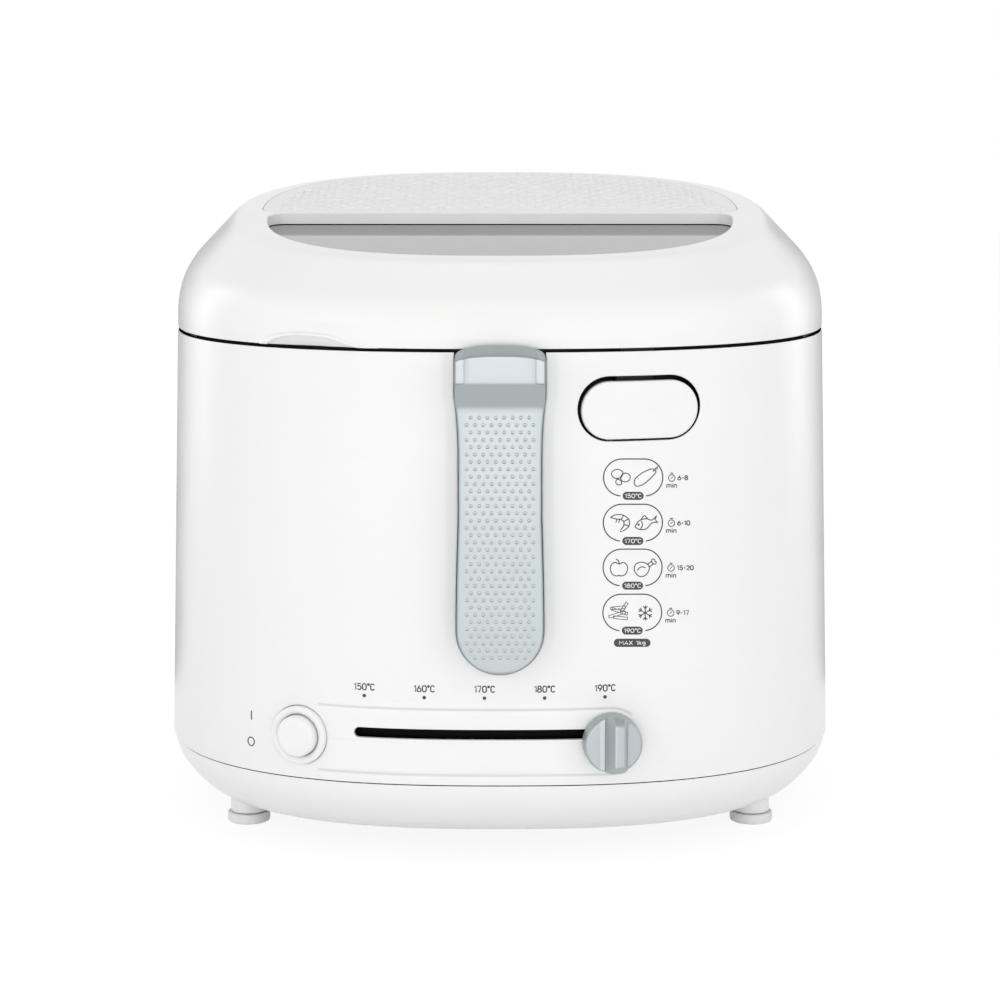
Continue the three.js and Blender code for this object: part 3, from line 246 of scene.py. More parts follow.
def loft(name, rings, shut=False):
    """A flat face is extruded again and again, and each new ring is set to its place."""
    nothing_selected()
    count = len(rings[0])
    bpy.ops.mesh.primitive_circle_add(vertices=count, radius=1, fill_type="NGON")
    piece = bpy.context.object
    piece.name = piece.data.name = name
    step = piece.data.attributes.new("step", "INT", "POINT")
    step.data.foreach_set("value", list(range(count)))
    bpy.ops.object.mode_set(mode="EDIT")
    bpy.ops.mesh.select_mode(type="FACE")
    bpy.ops.mesh.select_all(action="SELECT")
    place_ring(piece, rings[0])
    for ring in rings[1:]:
        bpy.ops.mesh.extrude_region_move()
        place_ring(piece, ring)
    if shut:
        mesh = bmesh.from_edit_mesh(piece.data)
        for face in mesh.faces:
            face.select = len(face.verts) == count
        bmesh.update_edit_mesh(piece.data)
        bpy.ops.mesh.delete(type="ONLY_FACE")
        bpy.ops.mesh.select_mode(type="VERT")
        bpy.ops.mesh.select_all(action="SELECT")
        bpy.ops.mesh.remove_doubles(threshold=1e-6)
    bpy.ops.mesh.select_all(action="SELECT")
    bpy.ops.mesh.normals_make_consistent(inside=False)
    bpy.ops.object.mode_set(mode="OBJECT")
    piece.data.attributes.remove(piece.data.attributes["step"])
    return piece


def turned(name, profile, sides=48, at=(0.0, 0.0)):
    """A round piece on the upright axis, from [radius, z] pairs."""
    return loft(name, [raised(circle(max(r, 0.01), sides, at), z) for r, z in profile])


def across(name, outline, levels):
    """An outline in y and z, carried sideways through levels of x."""
    return loft(name, [[(x, y, z) for y, z in outline] for x in levels])


def x_rod(name, radius, half, at):
    return across(name, circle(radius, 48, at), (-half, half))


def reshape(piece, rule):
    """Moves every point by a rule on millimetres."""
    mesh = piece.data
    for vertex in mesh.vertices:
        vertex.co = [value * MM for value in rule(*(c / MM for c in vertex.co))]
    mesh.update()
    return piece


def finish_with(piece, kind, **settings):
    """Adds one modifier and applies it."""
    only(piece)
    modifier = piece.modifiers.new(kind.title(), kind)
    for key, value in settings.items():
        setattr(modifier, key, value)
    bpy.ops.object.modifier_apply(modifier=modifier.name)


def carve(piece, *cutters, operation="DIFFERENCE"):
    for cutter in cutters:
        finish_with(piece, "BOOLEAN", operation=operation, object=cutter, solver="EXACT")
        bpy.data.objects.remove(cutter)


def joined(name, pieces):
    nothing_selected()
    for piece in pieces:
        piece.select_set(True)
    bpy.context.view_layer.objects.active = pieces[0]
    bpy.ops.object.join()
    pieces[0].name = pieces[0].data.name = name
    return pieces[0]


def copies(name, piece, places):
    """Copies of a small piece at many places, joined; the piece itself goes."""
    made = []
    for place in places:
        made.append(linked(piece.name, piece.data.copy()))
        made[-1].data.transform(place)
    bpy.data.objects.remove(piece)
    return joined(name, made)


def smooth(piece, angle=32.0):
    only(piece)
    bpy.ops.object.shade_smooth_by_angle(angle=math.radians(angle), keep_sharp_edges=False)
    return piece


def sunk_in_wall(name, outline, steps, spine=None):
    """A cutter that follows the front wall, from [grow, depth] steps; a spine closes its ends level."""
    rings = [wall_ring(outline(grow), deep) for grow, deep in steps]
    if spine is not None:
        ends = [wall_ring(squeezed(outline(grow), spine), deep) for grow, deep in (steps[0], steps[-1])]
        rings = ends[:1] + rings + ends[1:]
    return loft(name, rings)


def fillet(radius, floor, out=7.0):
    """Steps of a round-lipped hole, from outside the wall down to its floor."""
    steps = [(radius * 1.9, -out), (radius * 1.35, -0.1 * radius)]
    for i in range(1, 7):
        angle = math.pi / 2 * i / 6
        steps.append((radius * (1 - math.sin(angle)), radius * (1 - math.cos(angle))))
    return steps + [(0.0, floor)]


def rounded_box(name, x0, x1, y0, y1, z0, z1, bevel=0.0):
    nothing_selected()
    bpy.ops.mesh.primitive_cube_add(
        size=1, location=((x0 + x1) / 2 * MM, (y0 + y1) / 2 * MM, (z0 + z1) / 2 * MM),
        scale=((x1 - x0) * MM, (y1 - y0) * MM, (z1 - z0) * MM),
    )
    piece = bpy.context.object
    piece.name = piece.data.name = name
    bpy.ops.object.transform_apply(location=True, rotation=True, scale=True)
    if bevel:
        finish_with(piece, "BEVEL", width=bevel * MM, segments=3, limit_method="ANGLE")
    return piece


def shift(x, y, z):
    return Matrix.Translation(Vector((x, y, z)) * MM)


def set_on(piece, x, z, y=None, turn=None):
    """Carries a piece made about the origin, facing -Y, to a place on the front wall."""
    turn = wall_turn(x, z) if turn is None else turn
    y = wall_y(x, z) if y is None else y
    piece.data.transform(shift(x, y, z) @ Matrix.Rotation(turn, 4, "Z"))
    return piece


def faced(piece):
    """Turns a round piece from the upright axis to face -Y."""
    piece.data.transform(Matrix.Rotation(math.radians(90), 4, "X"))
    return piece


def cords(name, paths, radius, sides):
    """Round cords through points; a path that ends where it starts is closed."""
    data = bpy.data.curves.new(name, "CURVE")
    data.dimensions = "3D"
    for points in paths:
        closed = math.dist(points[0], points[-1]) < 1e-6
        points = points[:-1] if closed else points
        spline = data.splines.new("POLY")
        spline.points.add(len(points) - 1)
        for target, place in zip(spline.points, points):
            target.co = (*(value * MM for value in place), 1)
        spline.use_cyclic_u = closed
    data.bevel_depth, data.bevel_resolution, data.use_fill_caps = radius * MM, sides, True
    only(linked(name, data))
    bpy.ops.object.convert(target="MESH")
    return bpy.context.object


# ------------------------------------------------------------------ finishes

class Value:
    """One output in a finish; sums and products of values add their own nodes."""

    def __init__(self, tree, link):
        self.tree, self.link = tree, link

    def _math(self, operation, other):
        return self.tree.add("Math", {"operation": operation}, {0: self, 1: other})

    def __add__(self, other):
        return self._math("ADD", other)

    def __mul__(self, other):
        return self._math("MULTIPLY", other)

    __radd__ = __add__


class Nodes:
    """A node tree under way."""

    def __init__(self, tree):
        self.tree = tree

    def add(self, kind, settings=None, values=None, out=0):
        """Adds a node, with its settings and with values or links on its inputs."""
        node = self.tree.nodes.new("ShaderNode" + kind)
        for key, value in (settings or {}).items():
            setattr(node, key, value)
        for key, value in (values or {}).items():
            self.give(node.inputs[key], value)
        return Value(self, node.outputs[out]) if node.outputs else None

    def give(self, socket, value):
        if isinstance(value, Value):
            self.tree.links.new(value.link, socket)
        else:
            socket.default_value = value

    def part(self, vector, axis):
        return self.add("SeparateXYZ", None, {0: vector}, axis)

    def mix(self, amount, first, second):
        return self.add("MixShader", None, {0: amount, 1: first, 2: second})


class Paint(Nodes):
    """A material under way: its shader, its place on the object and the nodes between."""

    def __init__(self, name, **constants):
        self.material = bpy.data.materials.new(name)
        self.material.use_nodes = True
        super().__init__(self.material.node_tree)
        self.shader = next(n for n in self.tree.nodes if n.type == "BSDF_PRINCIPLED")
        self.place = self.add("TexCoord", out="Object")
        self.set(**constants)

    def noise(self, scale, detail=2.0, rough=0.5, place=None):
        return self.add("TexNoise", None, {
            "Vector": place or self.place, "Scale": scale, "Detail": detail, "Roughness": rough,
        })

    def speckle(self, scale):
        return self.add("TexVoronoi", None, {"Vector": self.place, "Scale": scale}, "Distance")

    def stretched(self, scale):
        return self.add("Mapping", None, {0: self.place, 3: scale})

    def blend(self, amount, first, second):
        return self.add("Mix", {"data_type": "RGBA"}, {0: amount, 6: first, 7: second}, 2)

    def ramp(self, value, low, high):
        return self.add("MapRange", {"clamp": True}, {0: value, 1: low, 2: high})

    def bump(self, height, distance, strength=1.0):
        return self.add("Bump", None, {"Height": height, "Distance": distance, "Strength": strength})

    def set(self, **values):
        for key, value in values.items():
            self.give(self.shader.inputs[key.replace("_", " ")], value)
        return self.material


def dimmed(colour, share):
    return tuple(c * share for c in colour[:3]) + (1.0,)


def moulded(name, colour, rough=0.3, grain=1500.0, depth=0.000012, drift=0.012, gloss=0.5):
    """Moulded plastic: slow drift of tone, fine spark-eroded grain, faint flow marks."""
    paint = Paint(name, Specular_IOR_Level=gloss)
    fine = paint.noise(grain, 3.0, 0.6)
    flow = paint.noise(11.0, 3.0) * 0.5 + paint.noise(260.0, 2.0) * 0.3
    rub = paint.ramp(paint.noise(38.0, 4.0, 0.6), 0.35, 0.7)
    return paint.set(
        Base_Color=paint.blend(flow, dimmed(colour, 1 - 4 * drift), colour),
        Roughness=rub * 0.06 + (rough - 0.03) + fine * 0.03,
        Normal=paint.bump(fine * 0.6 + paint.speckle(grain * 0.8) * 0.4, depth, 0.5),
    )


def silvered(name, colour, dark, rough, grain, head=None, under=False):
    """Pearl silver plastic, bright where it faces forwards, with painted shade where it turns away or, on the dots,
    below; a head colour paints a highlight on the handle's head.
    """
    paint = Paint(name, Metallic=0.35)
    fine = paint.noise(grain, 3.0, 0.6)
    normal = paint.add("TexCoord", out="Normal")
    # painted shade: the dark colour goes where a face turns downwards (on the dots) or away from the front
    if under:
        away = paint.ramp(paint.part(normal, 2), 0.0, -0.6)
    else:
        away = paint.ramp(paint.add("Math", {"operation": "ABSOLUTE"}, {0: paint.part(normal, 1)}), 0.985, 0.935)
    drift = paint.noise(13.0, 3.0) * 0.35 + fine * 0.25
    tone = paint.blend(drift, colour, dimmed(colour, 0.94))
    # painted highlight: above the grip the head takes the lighter head colour
    if head:
        upper = paint.blend(drift, head, dimmed(head, 0.94))
        tone = paint.blend(paint.ramp(paint.part(paint.place, 2), 0.199, 0.207), tone, upper)
    return paint.set(
        Base_Color=paint.blend(away, tone, dark), Roughness=fine * 0.05 + (rough - 0.02),
        Normal=paint.bump(fine, 0.00003, 0.5),
    )


def pressed_metal(name, colour, rough=0.28, along=(1.0, 1.0, 30.0), grain=220.0):
    """Rolled or drawn metal: fine lines along the work, faint stains."""
    paint = Paint(name, Metallic=1.0)
    streak = paint.noise(grain, 4.0, 0.7, paint.stretched(along))
    stain = paint.ramp(paint.noise(26.0, 4.0, 0.65), 0.42, 0.75)
    return paint.set(
        Base_Color=paint.blend(stain * 0.5 + streak * 0.3, colour, dimmed(colour, 0.78)),
        Roughness=stain * 0.12 + streak * 0.12 + (rough - 0.08),
        Normal=paint.bump(streak, 0.000015, 0.35),
    )


def coated(name):
    """Dark non-stick coating with fine pale flecks and rubbed rings from the basket."""
    paint = Paint(name, Metallic=0.15, Coat_Weight=0.25, Coat_Roughness=0.25)
    flecks = paint.ramp(paint.speckle(900.0), 0.16, 0.08)
    orange = paint.noise(480.0, 3.0, 0.6)
    worn = paint.ramp(paint.noise(19.0, 5.0, 0.6), 0.55, 0.8)
    tone = paint.blend(worn * 0.4, (0.030, 0.030, 0.032, 1), (0.062, 0.061, 0.060, 1))
    return paint.set(
        Base_Color=paint.blend(flecks * 0.55, tone, (0.16, 0.16, 0.165, 1)),
        Roughness=0.36 + worn * 0.12 + orange * 0.05, Normal=paint.bump(orange, 0.00006, 0.4),
    )


def smoked_pane(name):
    """Smoked clear plastic, polished, with faint wipe marks."""
    paint = Paint(name, IOR=1.39, Transmission_Weight=0.35, Coat_Weight=1.0, Coat_Roughness=0.02, Coat_IOR=1.43)
    marks = paint.ramp(paint.noise(60.0, 5.0, 0.65, paint.stretched((1.0, 6.0, 1.0))), 0.5, 0.85)
    return paint.set(
        Base_Color=paint.blend(marks * 0.35, (0.017, 0.018, 0.019, 1), (0.034, 0.035, 0.035, 1)),
        Roughness=0.035 + marks * 0.05, Normal=paint.bump(paint.noise(24.0, 2.0), 0.00002, 0.3),
    )


def soft_rubber(name, colour, rough=0.6):
    """Moulded rubber with a little dust."""
    paint = Paint(name, Subsurface_Weight=0.06, Subsurface_Radius=(0.004, 0.004, 0.004))
    dust = paint.ramp(paint.noise(70.0, 5.0, 0.65), 0.45, 0.8)
    return paint.set(
        Base_Color=paint.blend(dust, colour, dimmed(colour, 0.86)), Roughness=dust * 0.12 + (rough - 0.05),
        Normal=paint.bump(paint.noise(900.0, 3.0, 0.6), 0.00003, 0.5),
    )


def felt(name):
    """Matted carbon felt: fibres and open cells."""
    paint = Paint(name, Sheen_Weight=0.3)
    fibre, cells = paint.noise(700.0, 5.0, 0.75), paint.speckle(420.0)
    tone = paint.blend(fibre * 0.6 + cells * 0.4, (0.055, 0.054, 0.052, 1), (0.16, 0.157, 0.15, 1))
    return paint.set(Base_Color=tone, Roughness=0.92, Normal=paint.bump(fibre * 0.5 + cells, 0.0004, 0.8))


def printed(name, colour):
    """Pad-printed ink: almost even, with a trace of uneven cover."""
    paint = Paint(name)
    cover = paint.ramp(paint.noise(1400.0, 2.0), 0.3, 0.75)
    lighter = tuple(min(1.0, c * 1.35 + 0.01) for c in colour[:3]) + (1.0,)
    return paint.set(Base_Color=paint.blend(cover * 0.35, colour, lighter), Roughness=0.42 + cover * 0.08)


# lighter silver of the handle's head and its cheeks: a painted highlight
HEAD_SILVER_PAINTED_HIGHLIGHT = (0.545, 0.58, 0.60, 1)
WHITE = moulded("white_plastic", (0.80, 0.80, 0.796, 1), 0.30)
GRILLE = moulded("white_plastic_textured", (0.775, 0.775, 0.772, 1), 0.42, 1100.0, 0.00002)
# darker white used as painted shade along the panel's groove
GROOVE_PAINTED_SHADE = moulded("white_plastic_groove_painted_shade", (0.66, 0.66, 0.657, 1), 0.45, gloss=0.2)
# silver finishes: the second colour is painted shade for faces turned from the front, or turned down on the dots
SILVER = silvered("silver_grey_plastic", HEAD_SILVER_PAINTED_HIGHLIGHT, (0.36, 0.395, 0.405, 1), 0.36, 2100.0)
SILVER_GRIP = silvered(
    "silver_grey_grip", (0.505, 0.558, 0.568, 1), (0.35, 0.39, 0.40, 1), 0.40, 1700.0, HEAD_SILVER_PAINTED_HIGHLIGHT)
SILVER_DOT = silvered("silver_grey_dots", (0.52, 0.57, 0.58, 1), (0.25, 0.29, 0.30, 1), 0.40, 1700.0, under=True)
SILVER_KNOB = silvered("silver_grey_knob", (0.485, 0.525, 0.545, 1), (0.36, 0.40, 0.41, 1), 0.38, 2100.0)
# lighter copy of the knob's silver: a painted highlight
SILVER_PAINTED_HIGHLIGHT = silvered("silver_grey_painted_highlight", (0.60, 0.64, 0.655, 1), (0.50, 0.53, 0.54, 1), 0.36, 2100.0)
LINER = moulded("liner_plastic", (0.60, 0.60, 0.585, 1), 0.42, 900.0, 0.00002)
# black plastic of the slide's rail and carriage, also used as black painted shade on the panel's cut faces at the slot
BLACK_AND_SLOT_SHADE = moulded("black_plastic_and_slot_shade", (0.005, 0.005, 0.005, 1), 0.55, 1200.0, 0.00002, 0.0, 0.12)
# near-black painted shade for the insides of gaps and seams
PAINTED_GAP_SHADE = moulded("painted_gap_shade", (0.003, 0.003, 0.003, 1), 0.6, 1200.0, 0.00002, 0.0, 0.0)
DARK = moulded("dark_plastic", (0.022, 0.022, 0.023, 1), 0.5, 1000.0, 0.00003, 0.05)
BROWN = moulded("brown_plastic", (0.19, 0.085, 0.045, 1), 0.5, 700.0, 0.00004, 0.05)
COATED = coated("coated_metal")
STEEL = pressed_metal("steel", (0.60, 0.61, 0.62, 1))
WIRE = pressed_metal("wire_steel", (0.66, 0.66, 0.66, 1), 0.22, (1.0, 1.0, 1.0), 900.0)
ALUMINIUM = pressed_metal("aluminium", (0.62, 0.62, 0.62, 1), 0.4, (30.0, 1.0, 1.0))
PANE = smoked_pane("smoked_glass")
FELT = felt("filter_felt")
SEAL = soft_rubber("seal_rubber", (0.014, 0.014, 0.015, 1))
FOOT = soft_rubber("foot_rubber", (0.76, 0.765, 0.765, 1), 0.5)
INK = printed("print_ink", (0.045, 0.045, 0.052, 1))
PAPER = printed("print_white", (0.78, 0.78, 0.78, 1))


def show(piece, body, material, slot, *replaced):
    """Gives a new piece its finish, its body and the CAD pieces that it stands for."""
    if material is not None:
        piece.data.materials.clear()
        piece.data.materials.append(material)
    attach(piece, body)
    if replaced:
        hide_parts(*replaced)
    return piece


def second_finish(piece, material, chosen):
    """Gives the faces that a rule picks, by centre and normal in millimetres, another finish."""
    piece.data.materials.append(material)
    index = len(piece.data.materials) - 1
    for face in piece.data.polygons:
        if chosen(face.center / MM, face.normal):
            face.material_index = index


# ------------------------------------------------------------------ camera, floor and light

camera_data = bpy.data.cameras.new("camera")
camera_data.lens, camera_data.sensor_width = 97.3, 36.0
camera_data.clip_start, camera_data.clip_end = 0.05, 50.0
camera = linked("camera", camera_data)
camera.location = (0.0, -EYE_BACK * MM, EYE_HEIGHT * MM)
camera.rotation_euler = (math.radians(90) - EYE_DIP, 0.0, 0.0)
bpy.context.scene.camera = camera
bpy.context.scene.view_settings.view_transform = "Standard"

PURE = (1, 1, 1, 1)
nothing_selected()
bpy.ops.mesh.primitive_plane_add(size=8.0, location=(0, 0, 0))
floor = bpy.context.object
floor.name = "floor"
ground = Paint("floor_white", Roughness=0.9)
ground.set(Base_Color=ground.blend(ground.noise(3.0), (0.86, 0.86, 0.86, 1), (0.89, 0.89, 0.89, 1)))
seen = ground.add("LightPath", out="Is Camera Ray") + ground.add("LightPath", out="Is Glossy Ray")
seen = ground.add("Math", {"operation": "MINIMUM"}, {0: seen, 1: 1.0}) * 0.86
glow = ground.add("Emission", None, {"Color": PURE, "Strength": 1.04})
out = next(n for n in ground.tree.nodes if n.type == "OUTPUT_MATERIAL")
ground.give(out.inputs["Surface"], ground.mix(seen, Value(ground, ground.shader.outputs[0]), glow))
floor.data.materials.append(ground.material)

world = bpy.data.worlds.new("studio")
bpy.context.scene.world = world
world.use_nodes = True
world.node_tree.nodes.clear()
sky = Nodes(world.node_tree)


def backdrop(strength):
    return sky.add("Background", None, {"Color": PURE, "Strength": strength})


height = sky.part(sky.add("TexCoord", out="Object"), 2)
mirrored = backdrop(sky.add("MapRange", None, {0: height, 1: 0.50, 2: 0.85, 3: 1.0, 4: 0.22}))
lit = sky.mix(sky.add("LightPath", out="Is Glossy Ray"), backdrop(0.85), mirrored)
direct = sky.add("Math", {"operation": "MAXIMUM"}, {
    0: sky.add("LightPath", out="Is Camera Ray"), 1: sky.add("LightPath", out="Is Transmission Ray"),
})
sky.add("OutputWorld", None, {"Surface": sky.mix(direct, lit, backdrop(1.0))})


def softbox(name, place, aim, size, power, glossy=False, diffuse=True):
    data = bpy.data.lights.new(name, "AREA")
    data.shape, data.size, data.size_y, data.energy = "RECTANGLE", *size, power
    lamp = linked(name, data)
    lamp.location = place
    lamp.rotation_euler = (Vector(aim) - Vector(place)).to_track_quat("-Z", "Y").to_euler()
    lamp.visible_camera = False
    lamp.visible_glossy, lamp.visible_diffuse = glossy, diffuse


softbox("front_near", (0.0, -2.2, 0.35), (0, 0, 0.15), (0.6, 0.5), 4.3, glossy=True)
softbox("top_soft", (0.0, -0.3, 2.0), (0, 0, 0.2), (1.4, 1.0), 5.0)
softbox("left_soft", (-1.5, -1.2, 0.7), (0, 0, 0.2), (0.7, 1.0), 2.9)
softbox("right_soft", (1.5, -1.2, 0.7), (0, 0, 0.2), (0.7, 1.0), 2.6)
softbox("low_soft", (0.0, -1.2, 0.06), (0, 0, 0.06), (1.2, 0.1), 1.8)
softbox("left_strip", (-1.45, 0.62, 0.45), (-0.1, 0, 0.2), (0.45, 1.7), 5.2, True, False)
softbox("right_strip", (1.45, 0.62, 0.45), (0.1, 0, 0.2), (0.45, 1.7), 5.4, True, False)


def flag(name, x0, x1, y, top):
    """A dark card behind the object's side, seen only in reflections."""
    nothing_selected()
    bpy.ops.mesh.primitive_plane_add(size=1.0)
    card = bpy.context.object
    card.name = card.data.name = name
    upright = Matrix.Rotation(math.pi / 2, 4, "X") @ Matrix.Diagonal((x1 - x0, top, 1, 1))
    card.data.transform(Matrix.Translation(((x0 + x1) / 2, y, top / 2)) @ upright)
    card.data.materials.append(DARK)
    card.visible_camera = card.visible_diffuse = card.visible_shadow = card.visible_transmission = False


flag("flag_left", -0.36, -0.17, 0.22, 0.34)
flag("flag_right", 0.17, 0.36, 0.22, 0.34)

# ------------------------------------------------------------------ housing wall

HOUSING_PROFILE = [(149.6, 36.3), (150.0, 36.36), (150.2, 36.55)]
HOUSING_PROFILE += [(half_width_at(z), z) for z in (36.9, 60, 90, 120, 150, 180, 205, 217.6)]
HOUSING_PROFILE += [
    (145.08, 218.3), (144.95, 218.7), (144.7, 218.9), (142.7, 218.9), (142.5, 218.7), (142.6, 215.0), (131.2, 215.0),
    (130.5, 214.4), (130.5, 212.4), (142.7, 212.4), (half_width_at(120) - 2.6, 120), (147.7, 36.3), (149.6, 36.3),
]


def seen_ahead(outline, place):
    """An outline about a place on the front wall, narrowed as the wall turns away."""
    turn = wall_turn(*place)
    return [(place[0] + x * math.cos(turn), place[1] + z) for x, z in outline]


def key_outline(grow, length=53.1, height=27.1, centre=(0.0, 0.0)):
    return seen_ahead(stadium(length + 2 * grow, height + 2 * grow, centre), KEY)


def power_outline(grow, radius=12.9):
    return seen_ahead(circle(radius + grow, 72), POWER)


def slot_outline(grow):
    return stadium(SLOT_LENGTH + 2 * grow, SLOT_HEIGHT + 2 * grow, (SLOT_X, SLIDE_Z), 40)


def lug_outline():
    """Side view of a hinge lug: round head on a leg that runs down the wall."""
    front = HINGE[0] + HINGE_RADIUS
    points = arc(*HINGE, HINGE_RADIUS, HINGE_RADIUS, 180, 0, 24) + [(front, 212.0)]
    points += curve((front, 212.0), (front - 0.4, 203.0), (121.5, 198.5), 8)
    return points + [(119.0, 199.5), (119.0, 218.0), (123.8, 218.6), (124.6, 221.0)]


def knuckle_outline():
    """Side view of a knuckle: round head with a foot in the lid's rear edge."""
    points = arc(*HINGE, HINGE_RADIUS, HINGE_RADIUS, 110, -140, 30)
    return points + [(120.3, 223.5), (119.6, 226.0), (119.6, 230.0), (121.5, 231.2)]


def add_hinge_ears(piece, name, outline, near, far):
    """Adds a pair of ears between two distances from the middle, then the bore for the pin."""
    for side in (-1, 1):
        inner, outer = sorted((side * near, side * far))
        carve(piece, across(name, outline, (inner, inner + 0.4, outer - 0.4, outer)), operation="UNION")
    carve(piece, x_rod("pin_bore", 2.6, 54.5, HINGE))


def make_housing():
    wall = loft("housing_wall", ovals(HOUSING_PROFILE), shut=True)
    boss = [(x, min(z, 214.0)) for x, z in handle_outline(4.0)]
    core = loft("boss", [
        [(on_wall(x, z, 1.4)[0], wall_y(x, z) + 1.4, z) for x, z in boss], standing(boss, RECESS + 2.4),
    ])
    head = rounded_box("head_boss", -22.6, 22.6, -121.2, -111.4, 191.8, 214.5, 0.4)
    carve(wall, core, head, operation="UNION")

    rings = [wall_ring(handle_outline(grow), deep) for grow, deep in (
        (9.0, -7.0), (6.4, -0.1), (5.8, 0.0), (4.6, 0.12), (3.2, 0.32), (2.2, 0.42), (1.3, 0.43), (0.8, 0.46),
        (0.58, 0.6), (0.48, 0.95), (0.45, 2.2),
    )]
    for grow, y in ((0.45, RECESS - 1.0), (0.2, RECESS - 0.3), (-0.4, RECESS)):
        rings.append(standing(handle_outline(grow), y))
    carve(wall, loft("recess", rings))
    carve(wall, rounded_box("head_recess", -19.04, 19.04, -130, -113.8, 200.6, 240, 0.8))
    carve(
        wall, sunk_in_wall("key_hole", key_outline, fillet(0.7, 14.0)),
        sunk_in_wall("power_seat", power_outline, fillet(0.35, 1.3)),
        sunk_in_wall("power_hole", lambda grow: power_outline(grow, 9.3), [(0, -5.0), (0, 12.0)]),
        sunk_in_wall("slide_slot", slot_outline, fillet(0.35, 8.0), SLIDE_Z),
        loft("gland_hole", [standing(circle(6.3, 48, (0.0, GLAND_Z)), y) for y in (110.0, 150.0)]),
    )
    add_hinge_ears(wall, "lug", lug_outline(), 42.0, 53.0)
    return smooth(wall, 30)


def is_gap_painted_shade(centre, normal):
    """The inner faces of the key's hole and of the slot, past their round lips, which get near-black painted shade."""
    x, y, z = centre
    if y > 0:
        return False
    deep = y - wall_y(x, z) if abs(x) < 140 else 0
    key = abs(x - KEY[0]) < 30 and abs(z - KEY[1]) < 16 and deep > 0.72
    slot = -63 < x < 53 and abs(z - SLIDE_Z) < 3 and deep > 0.3
    return (key or slot) and abs(normal[1]) < 0.85


# the housing's rim top in the lid's seam, which gets near-black painted shade
def is_rim_painted_shade(centre, normal):
    return centre[2] > 218.8 and normal[2] > 0.9 and centre[1] < 110


housing = show(make_housing(), "fryer_body", WHITE, "white_plastic", "housing")
# painted shade: the sides of the key's hole and of the slot, and the rim top in the seam, are near black
second_finish(housing, PAINTED_GAP_SHADE, is_gap_painted_shade)
second_finish(housing, PAINTED_GAP_SHADE, is_rim_painted_shade)

# ------------------------------------------------------------------ raised scale panel

PANEL_ENDS = (46.5, -85.3)  # where the centres of its round ends lie
PANEL_HALF = 13.5
PANEL_RISE = 0.42


def panel_outline(grow):
    """Round-ended field behind the slide, running on round the power button."""
    half, points = PANEL_HALF + grow, []
    for (near, far), start, way in ((PANEL_ENDS, 90, -1), (PANEL_ENDS[::-1], -90, 1)):
        points += arc(near, PANEL_Z, half, half, start, start - 180, 48)
        points += [(near + (far - near) * i / 60, PANEL_Z + way * half) for i in range(1, 60)]
    return points


def fade(x):
    """The field's step dies away at the power button and behind the knob."""
    near, far = (min(1.0, max(0.0, share)) for share in ((x + 84.0) / 14.0, (60.0 - x) / 10.0))
    return near * near * (3 - 2 * near) * far * far * (3 - 2 * far)


def make_panel():
    def back(grow, share=1.0):
        return wall_ring(squeezed(panel_outline(grow), PANEL_Z, share), 0.6)

    def skin(grow, out, share=1.0):
        outline = squeezed(panel_outline(grow), PANEL_Z, share)
        return [on_wall(x, z, 0.04 * (1 - fade(x)) - out * fade(x)) for x, z in outline]

    rings = [back(-12.8, 0.02), back(-6.0), back(3.4)]
    rings += [skin(grow, out) for grow, out in (
        (3.4, -0.02), (2.6, 0.04), (1.6, 0.10), (1.15, 0.09), (0.9, 0.03), (0.3, 0.03), (0.05, 0.08), (-0.25, 0.22),
        (-0.6, 0.34), (-1.2, 0.41), (-2.9, PANEL_RISE), (-6.0, PANEL_RISE), (-9.0, PANEL_RISE), (-11.5, PANEL_RISE),
    )]
    panel = loft("scale_panel", rings + [skin(-12.8, PANEL_RISE, 0.02)])
    slot = [(0.5, -4.0)] + [(grow, deep - PANEL_RISE) for grow, deep in ((0.3, -0.02), (0.18, 0.12), (0.12, 0.4))]
    power = [(0.6, -4.0), (0.25, -PANEL_RISE - 0.02), (0.0, -PANEL_RISE + 0.3), (0.0, 3.0)]
    carve(
        panel, sunk_in_wall("slot_cut", slot_outline, slot + [(0.12, 3.0)], SLIDE_Z),
        sunk_in_wall("power_cut", power_outline, power),
    )
    return smooth(panel, 30)


# the panel's cut faces at the slot, which get black painted shade
def is_slot_painted_shade(centre, normal):
    x, y, z = centre
    return -63 < x < 53 and abs(z - SLIDE_Z) < 2.3 and y - wall_y(x, z) > -0.25


def is_groove_painted_shade(centre, normal):
    """The groove along the foot of the field's step, which gets a darker painted shade."""
    x, _, z = centre
    away = math.hypot(max(0.0, x - PANEL_ENDS[0]), z - PANEL_Z)
    return -78 < x < 56 and abs(away - 14.1) < 0.5


panel = show(make_panel(), "fryer_body", WHITE, "white_plastic")
# painted shade: black on the panel's cut faces at the slot
second_finish(panel, BLACK_AND_SLOT_SHADE, is_slot_painted_shade)
# painted shade: a darker line along the step's groove
second_finish(panel, GROOVE_PAINTED_SHADE, is_groove_painted_shade)

# ------------------------------------------------------------------ base and feet

def slit(name, x, y, length, width, steps, facets):
    """A cutter for a slot that runs from front to back, from [grow, z] steps."""
    return loft(name, [
        [(x + px, y + py, z) for py, px in stadium(length + grow, width + grow, facets=facets)]
        for grow, z in steps
    ])


